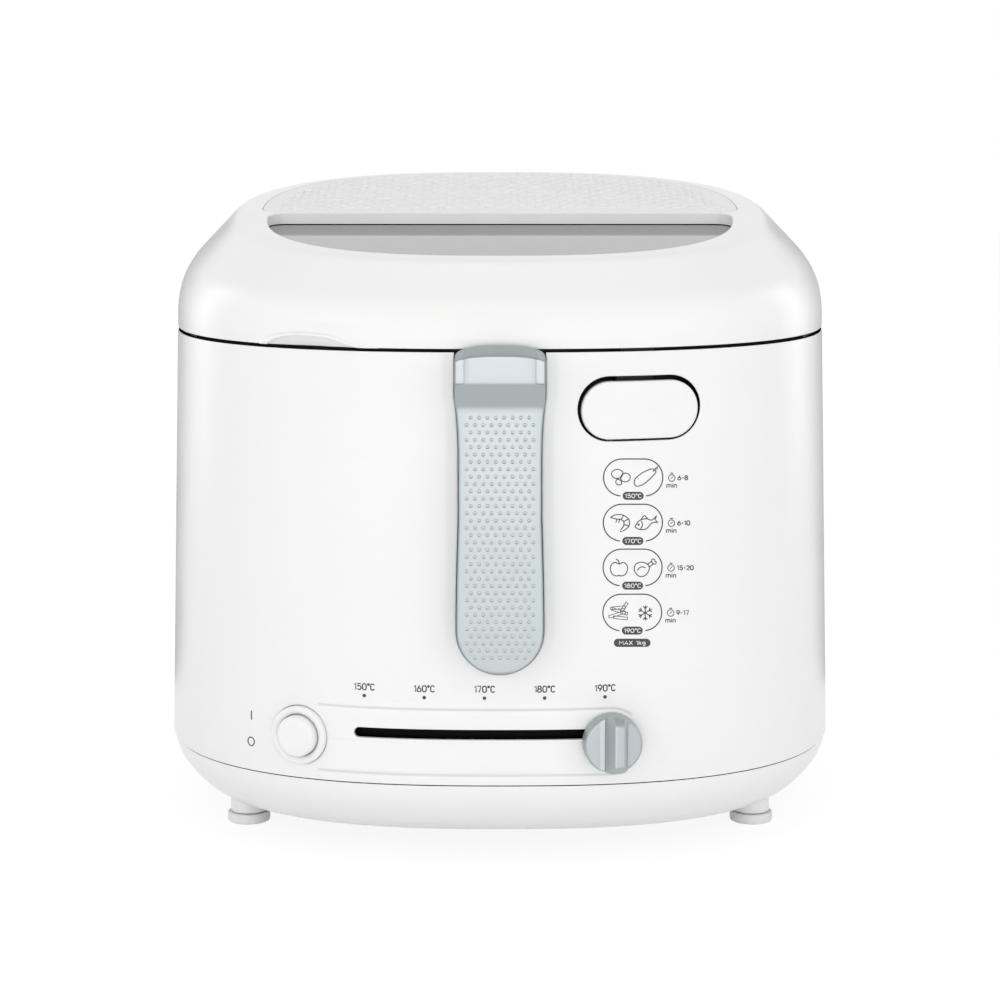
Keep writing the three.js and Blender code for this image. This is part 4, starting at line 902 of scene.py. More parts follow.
def make_base():
    outside = flowing([
        (125.0, 10.3), (131.5, 12.0), (137.0, 15.5), (142.0, 20.5), (146.2, 26.0), (148.6, 31.0), (149.6, 35.3),
    ], 4)
    profile = [
        (4.0, 12.9), (60.0, 12.9), (124.0, 12.9), (131.0, 15.0), (139.4, 21.0), (145.2, 30.0), (144.6, 36.0),
        (144.6, 43.6), (144.9, 44.0), (146.9, 44.0), (147.2, 43.6), (147.2, 36.0), (149.2, 36.0), (149.5, 35.8),
    ]
    pan = loft("base_pan", ovals(profile + outside[::-1] + [(60.0, 10.3), (4.0, 10.3)]))
    posts, holes = [], []
    for sx, sy in CORNERS:
        at = (sx * FEET[0], sy * FEET[1])
        posts.append(turned("stem", [(7.5, 4.7), (7.9, 4.9), (8.0, 5.3), (8.0, 14.6)], 48, at))
        holes.append(turned("spigot_hole", [(4.3, 0.0), (4.3, 11.9)], 32, at))
        at = (sx * BASE_SCREWS[0], sy * BASE_SCREWS[1])
        posts.append(turned("screw_post", [(6.5, 12.0), (6.5, 40.7)], 40, at))
        holes.append(turned("screw_hole", [(4.6, 8.0), (4.0, 10.8), (4.0, 16.3), (1.8, 16.3), (1.8, 42.0)], 40, at))
    steps = ((1.4, 8.0), (0.7, 10.25), (0.1, 10.6), (0.0, 11.0), (0.0, 18.0))
    holes += [slit("vent", (i - 3) * 8.0, 0.0, 28.0, 3.0, steps, 10) for i in range(7)]
    carve(pan, *posts, operation="UNION")
    carve(pan, *holes)
    return smooth(pan, 30)


def make_foot(name, at):
    return smooth(turned(name, [
        (0.5, 0.25), (7.6, 0.25), (7.8, 0.0), (8.7, 0.0), (9.2, 0.25), (9.45, 0.8), (9.5, 1.6), (9.5, 3.5),
        (9.35, 4.05), (8.95, 4.35), (8.3, 4.4), (4.0, 4.4), (4.0, 11.0), (3.6, 11.3), (0.5, 11.3),
    ], 64, at))


def make_base_screw(name, at):
    screw = turned(name, [
        (0.3, 13.5), (2.6, 13.6), (3.2, 13.9), (3.4, 14.4), (3.4, 15.7), (1.5, 15.7), (1.5, 51.0), (1.2, 51.5),
        (0.3, 51.5),
    ], 40, at)
    for a, b in ((2.0, 0.4), (0.4, 2.0)):
        carve(screw, rounded_box("cross", at[0] - a, at[0] + a, at[1] - b, at[1] + b, 12.0, 14.7))
    return smooth(screw)


base = show(make_base(), "fryer_body", WHITE, "white_plastic", "base")
# painted shade: the base's top faces inside the lower seam are near black
second_finish(base, PAINTED_GAP_SHADE, lambda centre, normal: centre[2] > 35.6 and normal[2] > 0.3)

for end, sy in (("front", -1), ("rear", 1)):
    for hand, sx in (("left", -1), ("right", 1)):
        pad = make_foot(f"foot_pad_{end}_{hand}", (sx * FEET[0], sy * FEET[1]))
        show(pad, "fryer_body", FOOT, "foot_rubber", f"foot_{end}_{hand}")
        screw = make_base_screw(f"screw_{end}_{hand}", (sx * BASE_SCREWS[0], sy * BASE_SCREWS[1]))
        show(screw, "fryer_body", STEEL, "steel", f"base_screw_{end}_{hand}")

# ------------------------------------------------------------------ lid

LID_SIDE = flowing([
    (144.9, 0.9), (144.9, 4.0), (144.85, 8.0), (144.3, 14.0), (143.1, 20.0), (141.0, 25.6), (138.6, 29.6),
    (136.2, 32.4), (132.4, 36.3), (128.5, 40.2), (124.8, 43.9), (122.4, 46.3), (120.9, 47.65), (119.2, 48.7),
    (117.0, 49.35), (113.5, 49.6), (108.0, 49.6),
], 4)
LID_HALVES = [(z, half) for half, z in LID_SIDE]
LID_UNDER = LID_TOP - 5.2  # underside of the plateau
LIP_OUTER = flowing([
    (-101.2, 0.36), (-99.4, 3.0), (-95.6, 5.9), (-90.0, 8.0), (-81.1, 9.0), (-72.4, 8.35), (-66.7, 6.3), (-61.6, 3.3),
    (-57.0, 1.3), (-50.0, 0.36),
], 6)
LIP_INNER = flowing([
    (-97.6, 0.36), (-96.0, 2.1), (-92.8, 4.4), (-88.2, 5.9), (-81.0, 6.6), (-73.6, 6.0), (-68.6, 4.3), (-64.6, 2.1),
    (-61.6, 0.9), (-58.8, 0.36),
], 6)
HOLLOW_X = -79.0


def plateau_cutter(name, half, depth, straight, side, corner, steps):
    """A cutter with the plateau's half-oval outline, from [grow, height] steps."""
    return loft(name, [
        raised(half_oval(half + grow, depth + grow, straight - side * grow, side, corner + grow), z)
        for grow, z in steps
    ])


def edge_steps(radius, low):
    """Steps of a round-lipped hole in the plateau."""
    return [(grow, LID_TOP - deep) for grow, deep in fillet(radius, LID_TOP - low, 8.0)]


def between(knots, place):
    """Straight interpolation in a row of [place, value] pairs."""
    for (low, a), (high, b) in zip(knots, knots[1:]):
        if place <= high:
            return a + (b - a) * max(0.0, (place - low) / (high - low))
    return knots[-1][1]


def on_lid(x, z, out=0.0):
    """A point of the lid's front at a height above its edge."""
    half = between(LID_HALVES, max(0.6, z)) + out
    return (x, -depth_of(half) * arch(x / half), z)


def dented(x, y, z):
    """A shallow dip for the fingers above the lip."""
    if y > 0 or z < 1.0:
        return (x, y, z)
    return (x, y + 1.15 * math.exp(-((x + 76.0) / 22.0) ** 2 - ((z - 11.0) / 4.0) ** 2), z)


def make_lid():
    profile = [
        (4.0, LID_UNDER), (60.0, LID_UNDER), (112.0, LID_UNDER), (120.7, LID_UNDER), (135.0, 29.7), (140.5, 19.8),
        (142.3, 8.4), (142.3, 0.7), (142.6, 0.4), (143.0, 0.45), (144.4, 0.45), (144.8, 0.6),
    ]
    lid = loft("lid_dome", ovals(profile + LID_SIDE + [(90.0, LID_TOP), (45.0, LID_TOP), (4.0, LID_TOP)]))
    carve(
        lid,
        plateau_cutter("window_hole", 104.5, 88.0, -1.5, -1, 8.0, edge_steps(0.9, LID_UNDER - 6)),
        plateau_cutter("grille_seat", 108.4, 90.4, -0.2, 1, 8.0, edge_steps(0.25, LID_TOP - 3.4)),
        plateau_cutter("steam_well", 102.0, 84.0, 6.0, 1, 8.0, [(0, LID_TOP + 8), (0, LID_UNDER - 6)]),
    )
    shape = [(LIP_INNER[0][0], -2.0)] + LIP_INNER[1:-1] + [(LIP_INNER[-1][0], -2.0)]
    carve(lid, loft("hollow", [
        [on_lid(HOLLOW_X + (x - HOLLOW_X) * grow, z * grow if z > 0 else z, out) for x, z in shape]
        for out, grow in ((4.0, 1.0), (-0.1, 1.0), (-0.55, 1.0), (-0.95, 0.985))
    ]))
    reshape(reshape(lid, dented), tilt)
    add_hinge_ears(lid, "knuckle", knuckle_outline(), 29.0, 41.5)
    return smooth(lid, 30)


def make_arch_lip():
    """Raised lip round the finger hollow, standing a little proud of the lid."""
    section = [
        (0.0, -1.0), (0.0, -0.1), (0.1, 0.4), (0.28, 0.74), (0.52, 0.84), (0.8, 0.66), (0.95, 0.3), (1.0, -0.1),
        (1.0, -1.0),
    ]
    rings = []
    for i, ((x0, z0), (x1, z1)) in enumerate(zip(LIP_OUTER, LIP_INNER)):
        proud = 0.35 + 0.75 * min(1.0, i / 5, (len(LIP_OUTER) - 1 - i) / 12)
        rings.append([tilt(*on_lid(x0 + (x1 - x0) * s, z0 + (z1 - z0) * s, out * proud)) for s, out in section])
    return smooth(loft("arch_lip", rings), 60)


def make_grille():
    low = LID_TOP - 2.9
    rings = [
        raised(half_oval(108.2 + grow, 90.2 + grow, 0.3 + lean - grow, 1, 8.0 + grow - lean), z)
        for grow, z, lean in (
            (0.0, low, 1.5), (0.0, LID_TOP - 0.5, 0.25), (-0.15, LID_TOP - 0.15, 0.0), (-0.5, LID_TOP, 0.0))
    ]
    top = rings[-1]
    rings += [[(x * share, 30.0 + (y - 30.0) * share, z) for x, y, z in top] for share in (0.9, 0.7, 0.45, 0.2)]
    return smooth(reshape(loft("lid_grille", rings), tilt), 30)


def make_dashes():
    """Rows of short raised bars, straight in front and following the arc behind."""
    half, depth, front, rows, pitch = 104.5, 86.0, 2.6, 16, 7.4
    bar = loft("dash", [
        raised(stadium(4.6 + 2 * grow, 2.2 + 2 * grow, facets=4), LID_TOP + z)
        for grow, z in ((0.25, -0.1), (0.0, 0.45), (-0.35, 0.75))
    ])
    places = []
    for row in range(1, rows + 1):
        share = (row + 0.15) / (rows + 0.6)
        x = -half if row % 2 else pitch / 2 - half
        while x < half:
            reach, near = (depth * arch(at / half, PLATEAU_POWER) for at in (x, x + 0.5))
            lean = math.atan2(share * (near - reach), 0.5)
            if reach > 8.0 and abs(lean) < 1.0 and abs(x) < half * (1 - 0.25 * share ** 6):
                places.append(shift(x, front + share * (reach - front), 0) @ Matrix.Rotation(lean, 4, "Z"))
            x += pitch
    return smooth(reshape(copies("grille_dashes", bar, places), tilt), 60)


show(make_lid(), "lid", WHITE, "white_plastic", "lid_shell")
show(make_arch_lip(), "lid", WHITE, "white_plastic")
show(joined("lid_grille", [make_grille(), make_dashes()]), "lid", GRILLE, "white_plastic", "filter_cover")

# ------------------------------------------------------------------ handle and its bracket

GRIP_RADIUS, GRIP_END = 18.0, 104.1  # the grip's round end and its centre
CROWN = 0.3
FRONT = [(z, y) for y, z in flowing([
    (-134.2, 86.05), (-135.1, 86.3), (-135.55, 86.9), (-135.8, 89.0), (-135.92, 96.0), (-136.0, 106.0),
    (-135.6, 125.0), (-134.9, 150.0), (-133.6, 175.0), (-132.7, 189.0), (-132.35, 194.0), (-132.25, 196.0),
    (-132.5, 197.5), (-133.65, 200.4), (-134.9, 203.5), (-136.05, 206.5), (-136.5, 207.7), (-136.66, 208.5),
    (-136.68, 212.0), (-136.68, 218.2), (-136.5, 218.95), (-136.0, 219.4), (-134.6, 219.85), (-131.2, 220.75),
    (-127.8, 221.7), (-125.6, 222.35),
], 3)]
BACK = [
    (86.05, -129.6), (87.0, -126.4), (90.0, -124.6), (110.2, -124.4), (160.0, -123.6), (196.0, -122.4),
    (219.0, -122.5), (220.4, -123.2), (221.8, -124.0), (222.35, -124.9),
]
LEVELS = sorted(set(
    [86.1, 86.25, 86.6, 87.2, 88.1, 89.3, 90.9, 92.9, 95.4, 98.2, 101.2, 104.2]
    + [104.2 + 3.3 * i for i in range(1, 27)] + [190.0 + 0.8 * i for i in range(22)]
    + [207.4, 208.0, 208.6, 210.0, 213.0, 215.0, 216.5, 217.6, 218.2, 218.6, 218.9, 219.15, 219.4, 219.7]
    + [220.1, 220.6, 221.1, 221.6, 222.0, 222.35]
))


def half_at(z):
    """Half width of the handle's outline at a height."""
    if z < GRIP_END:
        return math.sqrt(max(0.04, GRIP_RADIUS ** 2 - (GRIP_END - z) ** 2))
    side = curve((GRIP_RADIUS, GRIP_END), (GRIP_RADIUS, 121.0), (17.0, 150.0), 40) + [(17.0, 178.0)]
    side += curve((17.0, 178.0), (17.2, 192.0), (CHEEK, 200.0), 40)
    return next((x for x, height in side if height >= z), CHEEK)


def slab(left, right, front, back, z, soft_left, soft_right):
    """One level cross-section: front edges rounded where they are outer ones."""
    wide, thick = max(0.05, (right - left) / 2), max(0.05, back - front)
    rl, rr, rear = (min(radius, wide * 0.9, thick * 0.45) for radius in (soft_left, soft_right, 1.2))
    ring = arc(left + rl, front + rl, rl, rl, 180, 270, 6)
    ring += [(left + rl + (right - rr - left - rl) * i / 12, front) for i in range(1, 12)]
    ring += arc(right - rr, front + rr, rr, rr, 270, 360, 6)
    ring += arc(right - rear, back - rear, rear, rear, 0, 90, 6)
    ring += arc(left + rear, back - rear, rear, rear, 90, 180, 6)
    outer = max(abs(left), abs(right))
    return [(x, y - (CROWN * (1 - (x / outer) ** 2) if y < front + thick / 2 else 0.0), z) for x, y in ring]


def crowned(x, y, z):
    """Bends the head's level top into its arched crown."""
    if z <= 205.0:
        return (x, y, z)
    drop = 4.7 * (1 - math.sqrt(max(0.0, 1 - min(1.0, abs(x) / CHEEK) ** 2.7)))
    return (x, y, z - drop * ((z - 205.0) / 17.35) ** 1.6)


def make_handle():
    grip = loft("handle_grip", [
        slab(-half_at(z), half_at(z), between(FRONT, z), between(BACK, z), z, 0.8, 0.8) for z in LEVELS
    ])
    radius, (y, z) = 9.05, PIVOT
    room = arc(y, z, radius, radius, 180, 305.2, 32) + [(y + 18.2, z - 7.4), (y + 18.2, 250.0), (y - radius, 250.0)]
    for side in (-1, 1):
        carve(grip, across("side_room", room, sorted((side * 14.62, side * 30.0))))
    carve(grip, x_rod("grip_bore", 2.1, 20, PIVOT))
    reshape(grip, crowned)
    finish_with(
        grip, "BEVEL", width=0.14 * MM, segments=2, limit_method="ANGLE", angle_limit=math.radians(50),
        use_clamp_overlap=True)
    return smooth(grip, 40)


def make_dots():
    """Raised dots in staggered rows over the grip."""
    dot = faced(turned("dot", [(0.86, -0.15), (0.8, 0.12), (0.62, 0.30), (0.34, 0.40), (0.08, 0.43)], 12))
    places = []
    for row in range(34):
        z, count = 193.3 - 3.025 * row, 8 + row % 2
        room = half_at(z) - 2.6
        if z < 97.0:
            room = math.sqrt(max(0.0, 15.2 ** 2 - (102.2 - z) ** 2))
        for x in ((i - (count - 1) / 2) * 3.43 for i in range(count)):
            if abs(x) <= room:
                places.append(shift(x, between(FRONT, z) - CROWN * (1 - (x / half_at(z)) ** 2), z))
    return smooth(copies("grip_dots", dot, places), 60)


def make_bracket():
    """Shells beside the handle's head, with the strap that hangs over the rim."""
    levels = [206.72, 207.1, 207.5, 207.9, 208.2, 208.5, 208.9, 209.8, 211.2, 213.0]
    levels += [level for level in LEVELS if level >= 215.0]
    pieces = []
    for side in (-1, 1):
        inner, outer = sorted((side * 14.7, side * CHEEK))
        soft = (0.8, 0.1) if side < 0 else (0.1, 0.8)
        rings = []
        for z in levels:
            low = math.sqrt(8.9 ** 2 - (PIVOT[1] - z) ** 2) if z < PIVOT[1] else 18.0
            front = max(between(FRONT, z), PIVOT[0] - low)
            back = -114.6 if z < 218.8 else between(BACK, z)
            rings.append(slab(inner, outer, front, max(back, front + 0.6), z, *soft))
        pieces.append(reshape(loft("bracket_shell", rings), crowned))
    bracket = pieces[0]
    carve(
        bracket, pieces[1], rounded_box("back_plate", -17.0, 17.0, -116.8, -114.6, 203.3, 218.9, 0.5),
        rounded_box("strap", -12.0, 12.0, -115.6, -98.3, 216.95, 218.9, 0.6),
        rounded_box("hanger", -12.0, 12.0, -100.5, -98.3, 176.0, 218.9, 0.6), operation="UNION",
    )
    carve(bracket, x_rod("pin_hole", 2.1, 20, PIVOT))
    return smooth(bracket, 40)


grip_slab, grip_dots = make_handle(), make_dots()
# painted shade on the grip where it turns from the front and on the dots' lower sides, and a painted highlight on the
# head
grip_slab.data.materials.append(SILVER_GRIP)
grip_dots.data.materials.append(SILVER_DOT)
show(joined("handle_grip", [grip_slab, grip_dots]), "grip", None, "grey_plastic", "handle")
# the bracket's silver takes painted shade where it turns from the front, and the head's painted highlight as its colour
show(make_bracket(), "basket_unit", SILVER, "grey_plastic", "basket_bracket")

# ------------------------------------------------------------------ key, power button and slide knob

def make_key():
    """Release key, a thin skin in the wall's own curve with soft edges."""
    def skin(grow, sunk, share=1.0):
        outline = key_outline(grow, 50.5, 24.2, (0.3, -0.7))
        return wall_ring(squeezed(outline, KEY[1] - 0.7, share), sunk)

    rings = [skin(-0.6, 3.4), skin(0.0, 3.2)]
    rings += [skin(math.cos(a) - 1, 1 - math.sin(a) - 0.05) for a in (math.pi / 2 * i / 6 for i in range(7))]
    rings += [skin(-3.0, -0.1), skin(-6.0, -0.15), skin(-9.0, -0.15), skin(-11.0, -0.15, 0.03)]
    block = set_on(rounded_box("key_block", -8, 8, 2.2, 8.9, -10, 8, 0.5), *KEY)
    return smooth(joined("release_key", [loft("release_key", rings), block]), 35)


def make_collar():
    ring = loft("power_collar", [raised(circle(radius, 96), z) for radius, z in (
        (9.1, -0.9), (12.5, -0.9), (12.6, 0.4), (12.6, 1.5), (12.4, 2.15), (11.95, 2.5), (11.4, 2.6), (10.6, 2.4),
        (9.9, 1.95), (9.4, 1.4), (9.15, 0.6), (9.1, -0.9),
    )], shut=True)
    return smooth(set_on(faced(ring), *POWER), 40)


def make_button():
    button = turned("power_cap", [
        (0.4, -9.6), (3.0, -9.6), (3.0, -5.2), (10.4, -5.2), (10.4, -3.8), (8.9, -3.8), (8.9, 2.6), (8.85, 3.5),
        (8.65, 4.3), (8.25, 4.9), (7.6, 5.3), (6.6, 5.48), (5.0, 5.42), (3.0, 5.34), (0.3, 5.3),
    ], 96)
    return smooth(set_on(faced(button), *POWER), 40)


def is_painted_highlight(centre, normal):
    """The groove's shallow slope and the front edge of the bar beside it, which get a lighter painted highlight."""
    x, y, _ = centre
    return abs(normal[1]) > 0.5 and ((-6.0 < x < -3.75 and -9.1 < y < -8.7) or (-0.35 < x < 0.45 and y < -12.9))


def make_knob():
    """Round knob with a flat face, a shallow groove and an upright grip bar beside it."""
    face = 9.0
    disc = faced(turned("slide_knob", [
        (0.3, 1.2), (11.7, 1.2), (12.2, 1.5), (12.4, 2.1), (12.4, 7.4), (12.25, 8.2), (11.85, 8.75),
        (11.3, face - 0.03), (8.0, face), (0.3, face),
    ], 96))
    groove = (
        (-7.2, 1.0), (-6.2, 0.03), (-5.7, -0.03), (-5.0, -0.07), (-4.2, -0.12), (-3.8, -0.2), (-3.5, -0.5),
        (-3.2, -0.75), (-2.2, -0.75), (-2.2, 1.0),
    )
    carve(disc, loft("groove", [[(x, -(face + out), z) for x, out in groove] for z in (-14.0, 14.0)]))
    section = (
        (-3.1, -0.9), (-2.8, -0.4), (-2.1, 0.5), (-1.4, 1.75), (-0.7, 3.0), (-0.25, 3.85), (0.05, 4.15), (0.5, 4.3),
        (2.0, 4.3), (3.6, 4.3), (4.1, 4.1), (4.5, 3.5), (5.1, 2.0), (5.7, 0.5), (6.0, -0.2), (6.0, -2.0),
    )
    rings = []
    for z in (13.0 * math.sin(math.pi / 2 * i / 18) for i in range(-18, 19)):
        lift = 1 - 0.78 * min(1.0, max(0.0, (abs(z) - 8.4) / 4.0)) ** 1.5
        rings.append([(-3.15, 2.0 - face, z)])
        rings[-1] += [(x, -(face + (out * lift if out > 0 else out)), z) for x, out in section]
    bar = loft("knob_bar", rings)
    outer = faced(turned("knob_round", [(0.3, 5.0), (12.3, 5.0), (12.3, 16.0), (0.3, 16.0)], 96))
    carve(bar, outer, operation="INTERSECT")
    carve(disc, bar, operation="UNION")
    finish_with(disc, "BEVEL", width=0.22 * MM, segments=2, limit_method="ANGLE", angle_limit=math.radians(50))
    smooth(disc, 40)
    finish_with(disc, "WEIGHTED_NORMAL", weight=80, keep_sharp=True)
    # painted shade on faces turned from the front, and a painted highlight on the groove's slope and the bar's front
    # edge
    disc.data.materials.append(SILVER_KNOB)
    second_finish(disc, SILVER_PAINTED_HIGHLIGHT, is_painted_highlight)
    x, z = KNOB
    return set_on(disc, x, z, SLIDE_CENTRE - math.sqrt(SLIDE_RADIUS ** 2 - x ** 2), math.asin(x / SLIDE_RADIUS))


show(make_key(), "lid_release", WHITE, "white_plastic", "lid_button")
show(make_collar(), "fryer_body", WHITE, "white_plastic", "power_button_collar")
show(make_button(), "power_key", WHITE, "white_plastic", "power_button")
show(make_knob(), "temperature_slider", None, "grey_plastic", "temperature_knob")

# ------------------------------------------------------------------ prints on the front

DEGREES_C = "°C"
# one-stroke characters on a cap height of 6: width and paths; a path that ends where it starts is closed
STROKES = {
    "0": (3.6, [arc(1.8, 4.2, 1.8, 1.8, 0, 180) + arc(1.8, 1.8, 1.8, 1.8, 180, 360) + [(3.6, 4.2)]]),
    "1": (1.7, [[(0.1, 4.7), (1.6, 6), (1.6, 0)]]),
    "2": (3.5, [arc(1.75, 4.25, 1.7, 1.75, 165, -30) + [(0.1, 0), (3.5, 0)]]),
    "5": (3.5, [[(3.2, 6), (0.5, 6), (0.3, 3.1)] + arc(1.7, 1.9, 1.8, 1.9, 120, -150)]),
    "6": (3.6, [arc(1.8, 1.8, 1.8, 1.8, 0, 360, 18), [(0.3, 2.7), (2.3, 6)]]),
    "7": (3.4, [[(0, 6), (3.4, 6), (1.3, 0)]]),
    "8": (3.6, [arc(1.8, 4.6, 1.5, 1.4, 0, 360, 18), arc(1.8, 1.65, 1.8, 1.6, 0, 360, 18)]),
    "9": (3.6, [arc(1.8, 4.2, 1.8, 1.8, 0, 360, 18), [(3.3, 3.3), (1.3, 0)]]),
    "°": (1.5, [arc(0.75, 5.3, 0.75, 0.75, 0, 360, 12)]),
    "C": (3.5, [arc(1.8, 4.2, 1.75, 1.8, 20, 180) + arc(1.8, 1.8, 1.75, 1.8, 180, 340)]),
    "-": (1.9, [[(0.1, 2.8), (1.8, 2.8)]]),
    "M": (4.4, [[(0, 0), (0, 6), (2.2, 2.4), (4.4, 6), (4.4, 0)]]),
    "A": (4.0, [[(0, 0), (2, 6), (4, 0)], [(0.8, 1.8), (3.2, 1.8)]]),
    "X": (3.8, [[(0, 6), (3.8, 0)], [(3.8, 6), (0, 0)]]),
    "k": (2.7, [[(0, 0), (0, 6)], [(2.5, 4.2), (0, 1.7)], [(1.0, 2.7), (2.7, 0)]]),
    "g": (2.8, [
        arc(1.4, 2.7, 1.4, 1.5, 0, 360, 14), [(2.8, 4.2), (2.8, 0)] + arc(1.4, 0, 1.4, 1.4, 0, -130)[1:],
    ]),
    "m": (4.4, [
        [(0, 0), (0, 4.2)], arc(1.1, 3.1, 1.1, 1.1, 180, 0, 6) + [(2.2, 0)],
        arc(3.3, 3.1, 1.1, 1.1, 180, 0, 6) + [(4.4, 0)],
    ]),
    "i": (0.2, [[(0.1, 0), (0.1, 4.2)], [(0.1, 5.4), (0.1, 6)]]),
    "n": (2.4, [[(0, 0), (0, 4.2)], arc(1.2, 3.0, 1.2, 1.2, 180, 0, 6) + [(2.4, 0)]]),
    " ": (1.6, []),
}


def strokes(name, paths, width):
    """Drawn lines, each a flat-sided cord through points in x and z."""
    piece = cords(name, [[(x, 0.0, z) for x, z in points] for points in paths], width / 2, 0)
    for vertex in piece.data.vertices:
        vertex.co.y *= 0.16
    return piece


def line(name, points, width, closed=False):
    return strokes(name, [list(points) + [points[0]] if closed else points], width)


def writing(name, text, x, z, height, width, stretch=1.0, left=False):
    """A row of one-stroke characters about a point, or from it to the right."""
    size, gap = (height - width) / 6, 1.4
    full = sum(STROKES[c][0] for c in text) + gap * (len(text) - 1)
    at, paths = (0.0 if left else -full / 2), []
    for character in text:
        wide, drawn = STROKES[character]
        for path in drawn:
            paths.append([(x + (at + px) * size * stretch, z + (pz - 3) * size) for px, pz in path])
        at += wide + gap
    return strokes(name, paths, width)


def patch(name, points):
    """A filled shape in x and z, divided into rings so that it can follow the wall."""
    cx, cz = (sum(p[i] for p in points) / len(points) for i in (0, 1))
    thick, sizes = 0.02, (0.25, 0.5, 0.75, 1.0)
    steps = [(size, thick) for size in sizes] + [(size, -thick) for size in sizes[::-1]]
    return loft(name, [[(cx + (x - cx) * size, y, cz + (z - cz) * size) for x, z in points] for size, y in steps])


def make_scale():
    marks = []
    for i, x in enumerate((-57.1, -31.8, -6.5, 18.7, 44.1)):
        marks.append(patch("mark", circle(0.78, 20, (x, 73.9))))
        marks.append(writing("degrees", f"{150 + 10 * i}{DEGREES_C}", x, 77.7, 3.15, 0.52))
    bar = ((-0.25, -2.0), (0.25, -2.0), (0.25, 0.7), (0.25, 2.0), (-0.25, 2.0), (-0.25, 0.7))
    marks.append(patch("on_mark", [(-106.6 + x, 60.4 + z) for x, z in bar]))
    marks.append(line("off_mark", arc(-106.9, 48.9, 1.45, 1.85, 0, 360, 32)[:-1], 0.5, True))
    return marks


def chip(cx, cz, length, turn):
    c, s, half = math.cos(turn), math.sin(turn), length / 2
    corners = ((-half, -0.5), (half, -0.5), (half, 0.5), (-half, 0.5))
    return ("closed", *((cx + x * c - z * s, cz + x * s + z * c) for x, z in corners))


def frost(angle):
    """One arm of a frost star with its two barbs."""
    x, z = math.cos(angle), math.sin(angle)
    fork = (5.0 + 1.7 * x, 1.7 * z)
    return [("open", (5.0, 0.0), (5.0 + 2.9 * x, 2.9 * z))] + [
        ("open", fork, (fork[0] + 1.2 * math.cos(angle + way), fork[1] + 1.2 * math.sin(angle + way)))
        for way in (0.75, -0.75)
    ]


# pictograms about the middle of their frame: how each line runs, then its points
FOOD = (
    [  # potatoes and an aubergine
        ("round", (-8.2, 2.3), (-6.2, 3.3), (-4.2, 2.4), (-4.4, 0.6), (-6.4, -0.2), (-8.1, 0.7)),
        ("round", (-4.6, 0.9), (-3.0, 1.9), (-1.3, 0.9), (-1.6, -0.9), (-3.4, -1.5), (-4.7, -0.6)),
        ("round", (-6.3, -0.6), (-4.9, -0.9), (-4.5, -2.2), (-5.8, -2.7), (-6.7, -1.8)),
        ("bent", (8.2, 3.2), (6.8, 3.4), (3.4, 1.9), (0.6, -0.6), (0.9, -3.0), (3.6, -2.6), (6.6, -0.2), (8.7, 2.2),
         (8.2, 3.2)),
        ("open", (7.6, 2.4), (8.9, 3.9), (9.5, 4.3)),
        ("open", (8.9, 3.9), (9.4, 3.2)),
    ],
    [  # prawn and fish
        ("bent", (-8.7, 2.2), (-6.6, 3.2), (-3.6, 3.0), (-1.5, 1.2), (-1.6, -1.2), (-3.4, -2.8)),
        ("bent", (-8.7, 2.2), (-6.6, 1.6), (-4.6, 1.4), (-3.5, 0.3), (-3.7, -1.2), (-4.5, -2.3)),
        ("open", (-4.6, 1.4), (-3.7, 2.9)),
        ("open", (-3.6, 0.6), (-1.8, 1.6)),
        ("open", (-3.6, -0.6), (-1.6, -0.9)),
        ("open", (-4.5, -2.3), (-5.0, -3.4), (-3.4, -2.8)),
        ("open", (-6.2, 1.5), (-6.6, 0.2)),
        ("open", (-5.2, 1.4), (-5.5, 0.1)),
        ("bent", (0.7, -1.4), (2.4, 0.9), (5.0, 1.7), (7.3, 1.2), (9.2, 2.9)),
        ("bent", (0.7, -1.4), (2.6, -2.4), (5.2, -2.1), (7.4, 0.1), (9.6, 0.3)),
        ("open", (9.2, 2.9), (8.5, 1.4), (9.6, 0.3)),
        ("bent", (3.0, 1.2), (4.3, 2.9), (5.6, 1.7)),
        ("bent", (3.1, 0.8), (3.7, -0.7), (2.9, -2.2)),
        ("eye", (2.4, -0.65)),
    ],
    [  # apple and chicken leg
        ("round", (-5.2, 1.6), (-3.4, 2.1), (-2.0, 0.4), (-2.6, -2.2), (-4.4, -3.1), (-5.3, -2.8), (-6.3, -3.1),
         (-8.0, -2.2), (-8.6, 0.4), (-7.1, 2.1)),
        ("bent", (-5.2, 1.3), (-5.5, 2.7), (-6.5, 3.5)),
        ("round", (0.6, -0.8), (1.4, 1.6), (3.8, 2.2), (6.0, 1.2), (6.4, -0.6), (5.0, -2.8), (2.6, -3.2)),
        ("open", (5.7, 1.4), (7.4, 2.6)),
        ("open", (6.4, 0.3), (8.0, 1.6)),
        ("round", (7.3, 2.6), (7.6, 3.4), (8.5, 3.2), (8.6, 2.6), (9.2, 2.2), (8.8, 1.5), (8.0, 1.6)),
        ("bent", (1.8, -0.9), (3.2, 0.4), (5.0, 0.1)),
    ],
    [  # chips and frost
        chip(-5.6, 2.0, 5.6, 0.10), chip(-4.9, 0.6, 6.2, -0.32), chip(-5.9, -0.6, 6.6, 0.28),
        chip(-4.6, -1.9, 5.4, -0.10), chip(-3.2, 2.2, 4.0, 1.0),
        *(mark for i in range(6) for mark in frost(math.pi / 6 + math.pi / 3 * i)),
    ],
)
GUIDE_X = 55.45
VIEW = 2703.0  # the lens's length over the sensor's width, times a view of 1000 levels


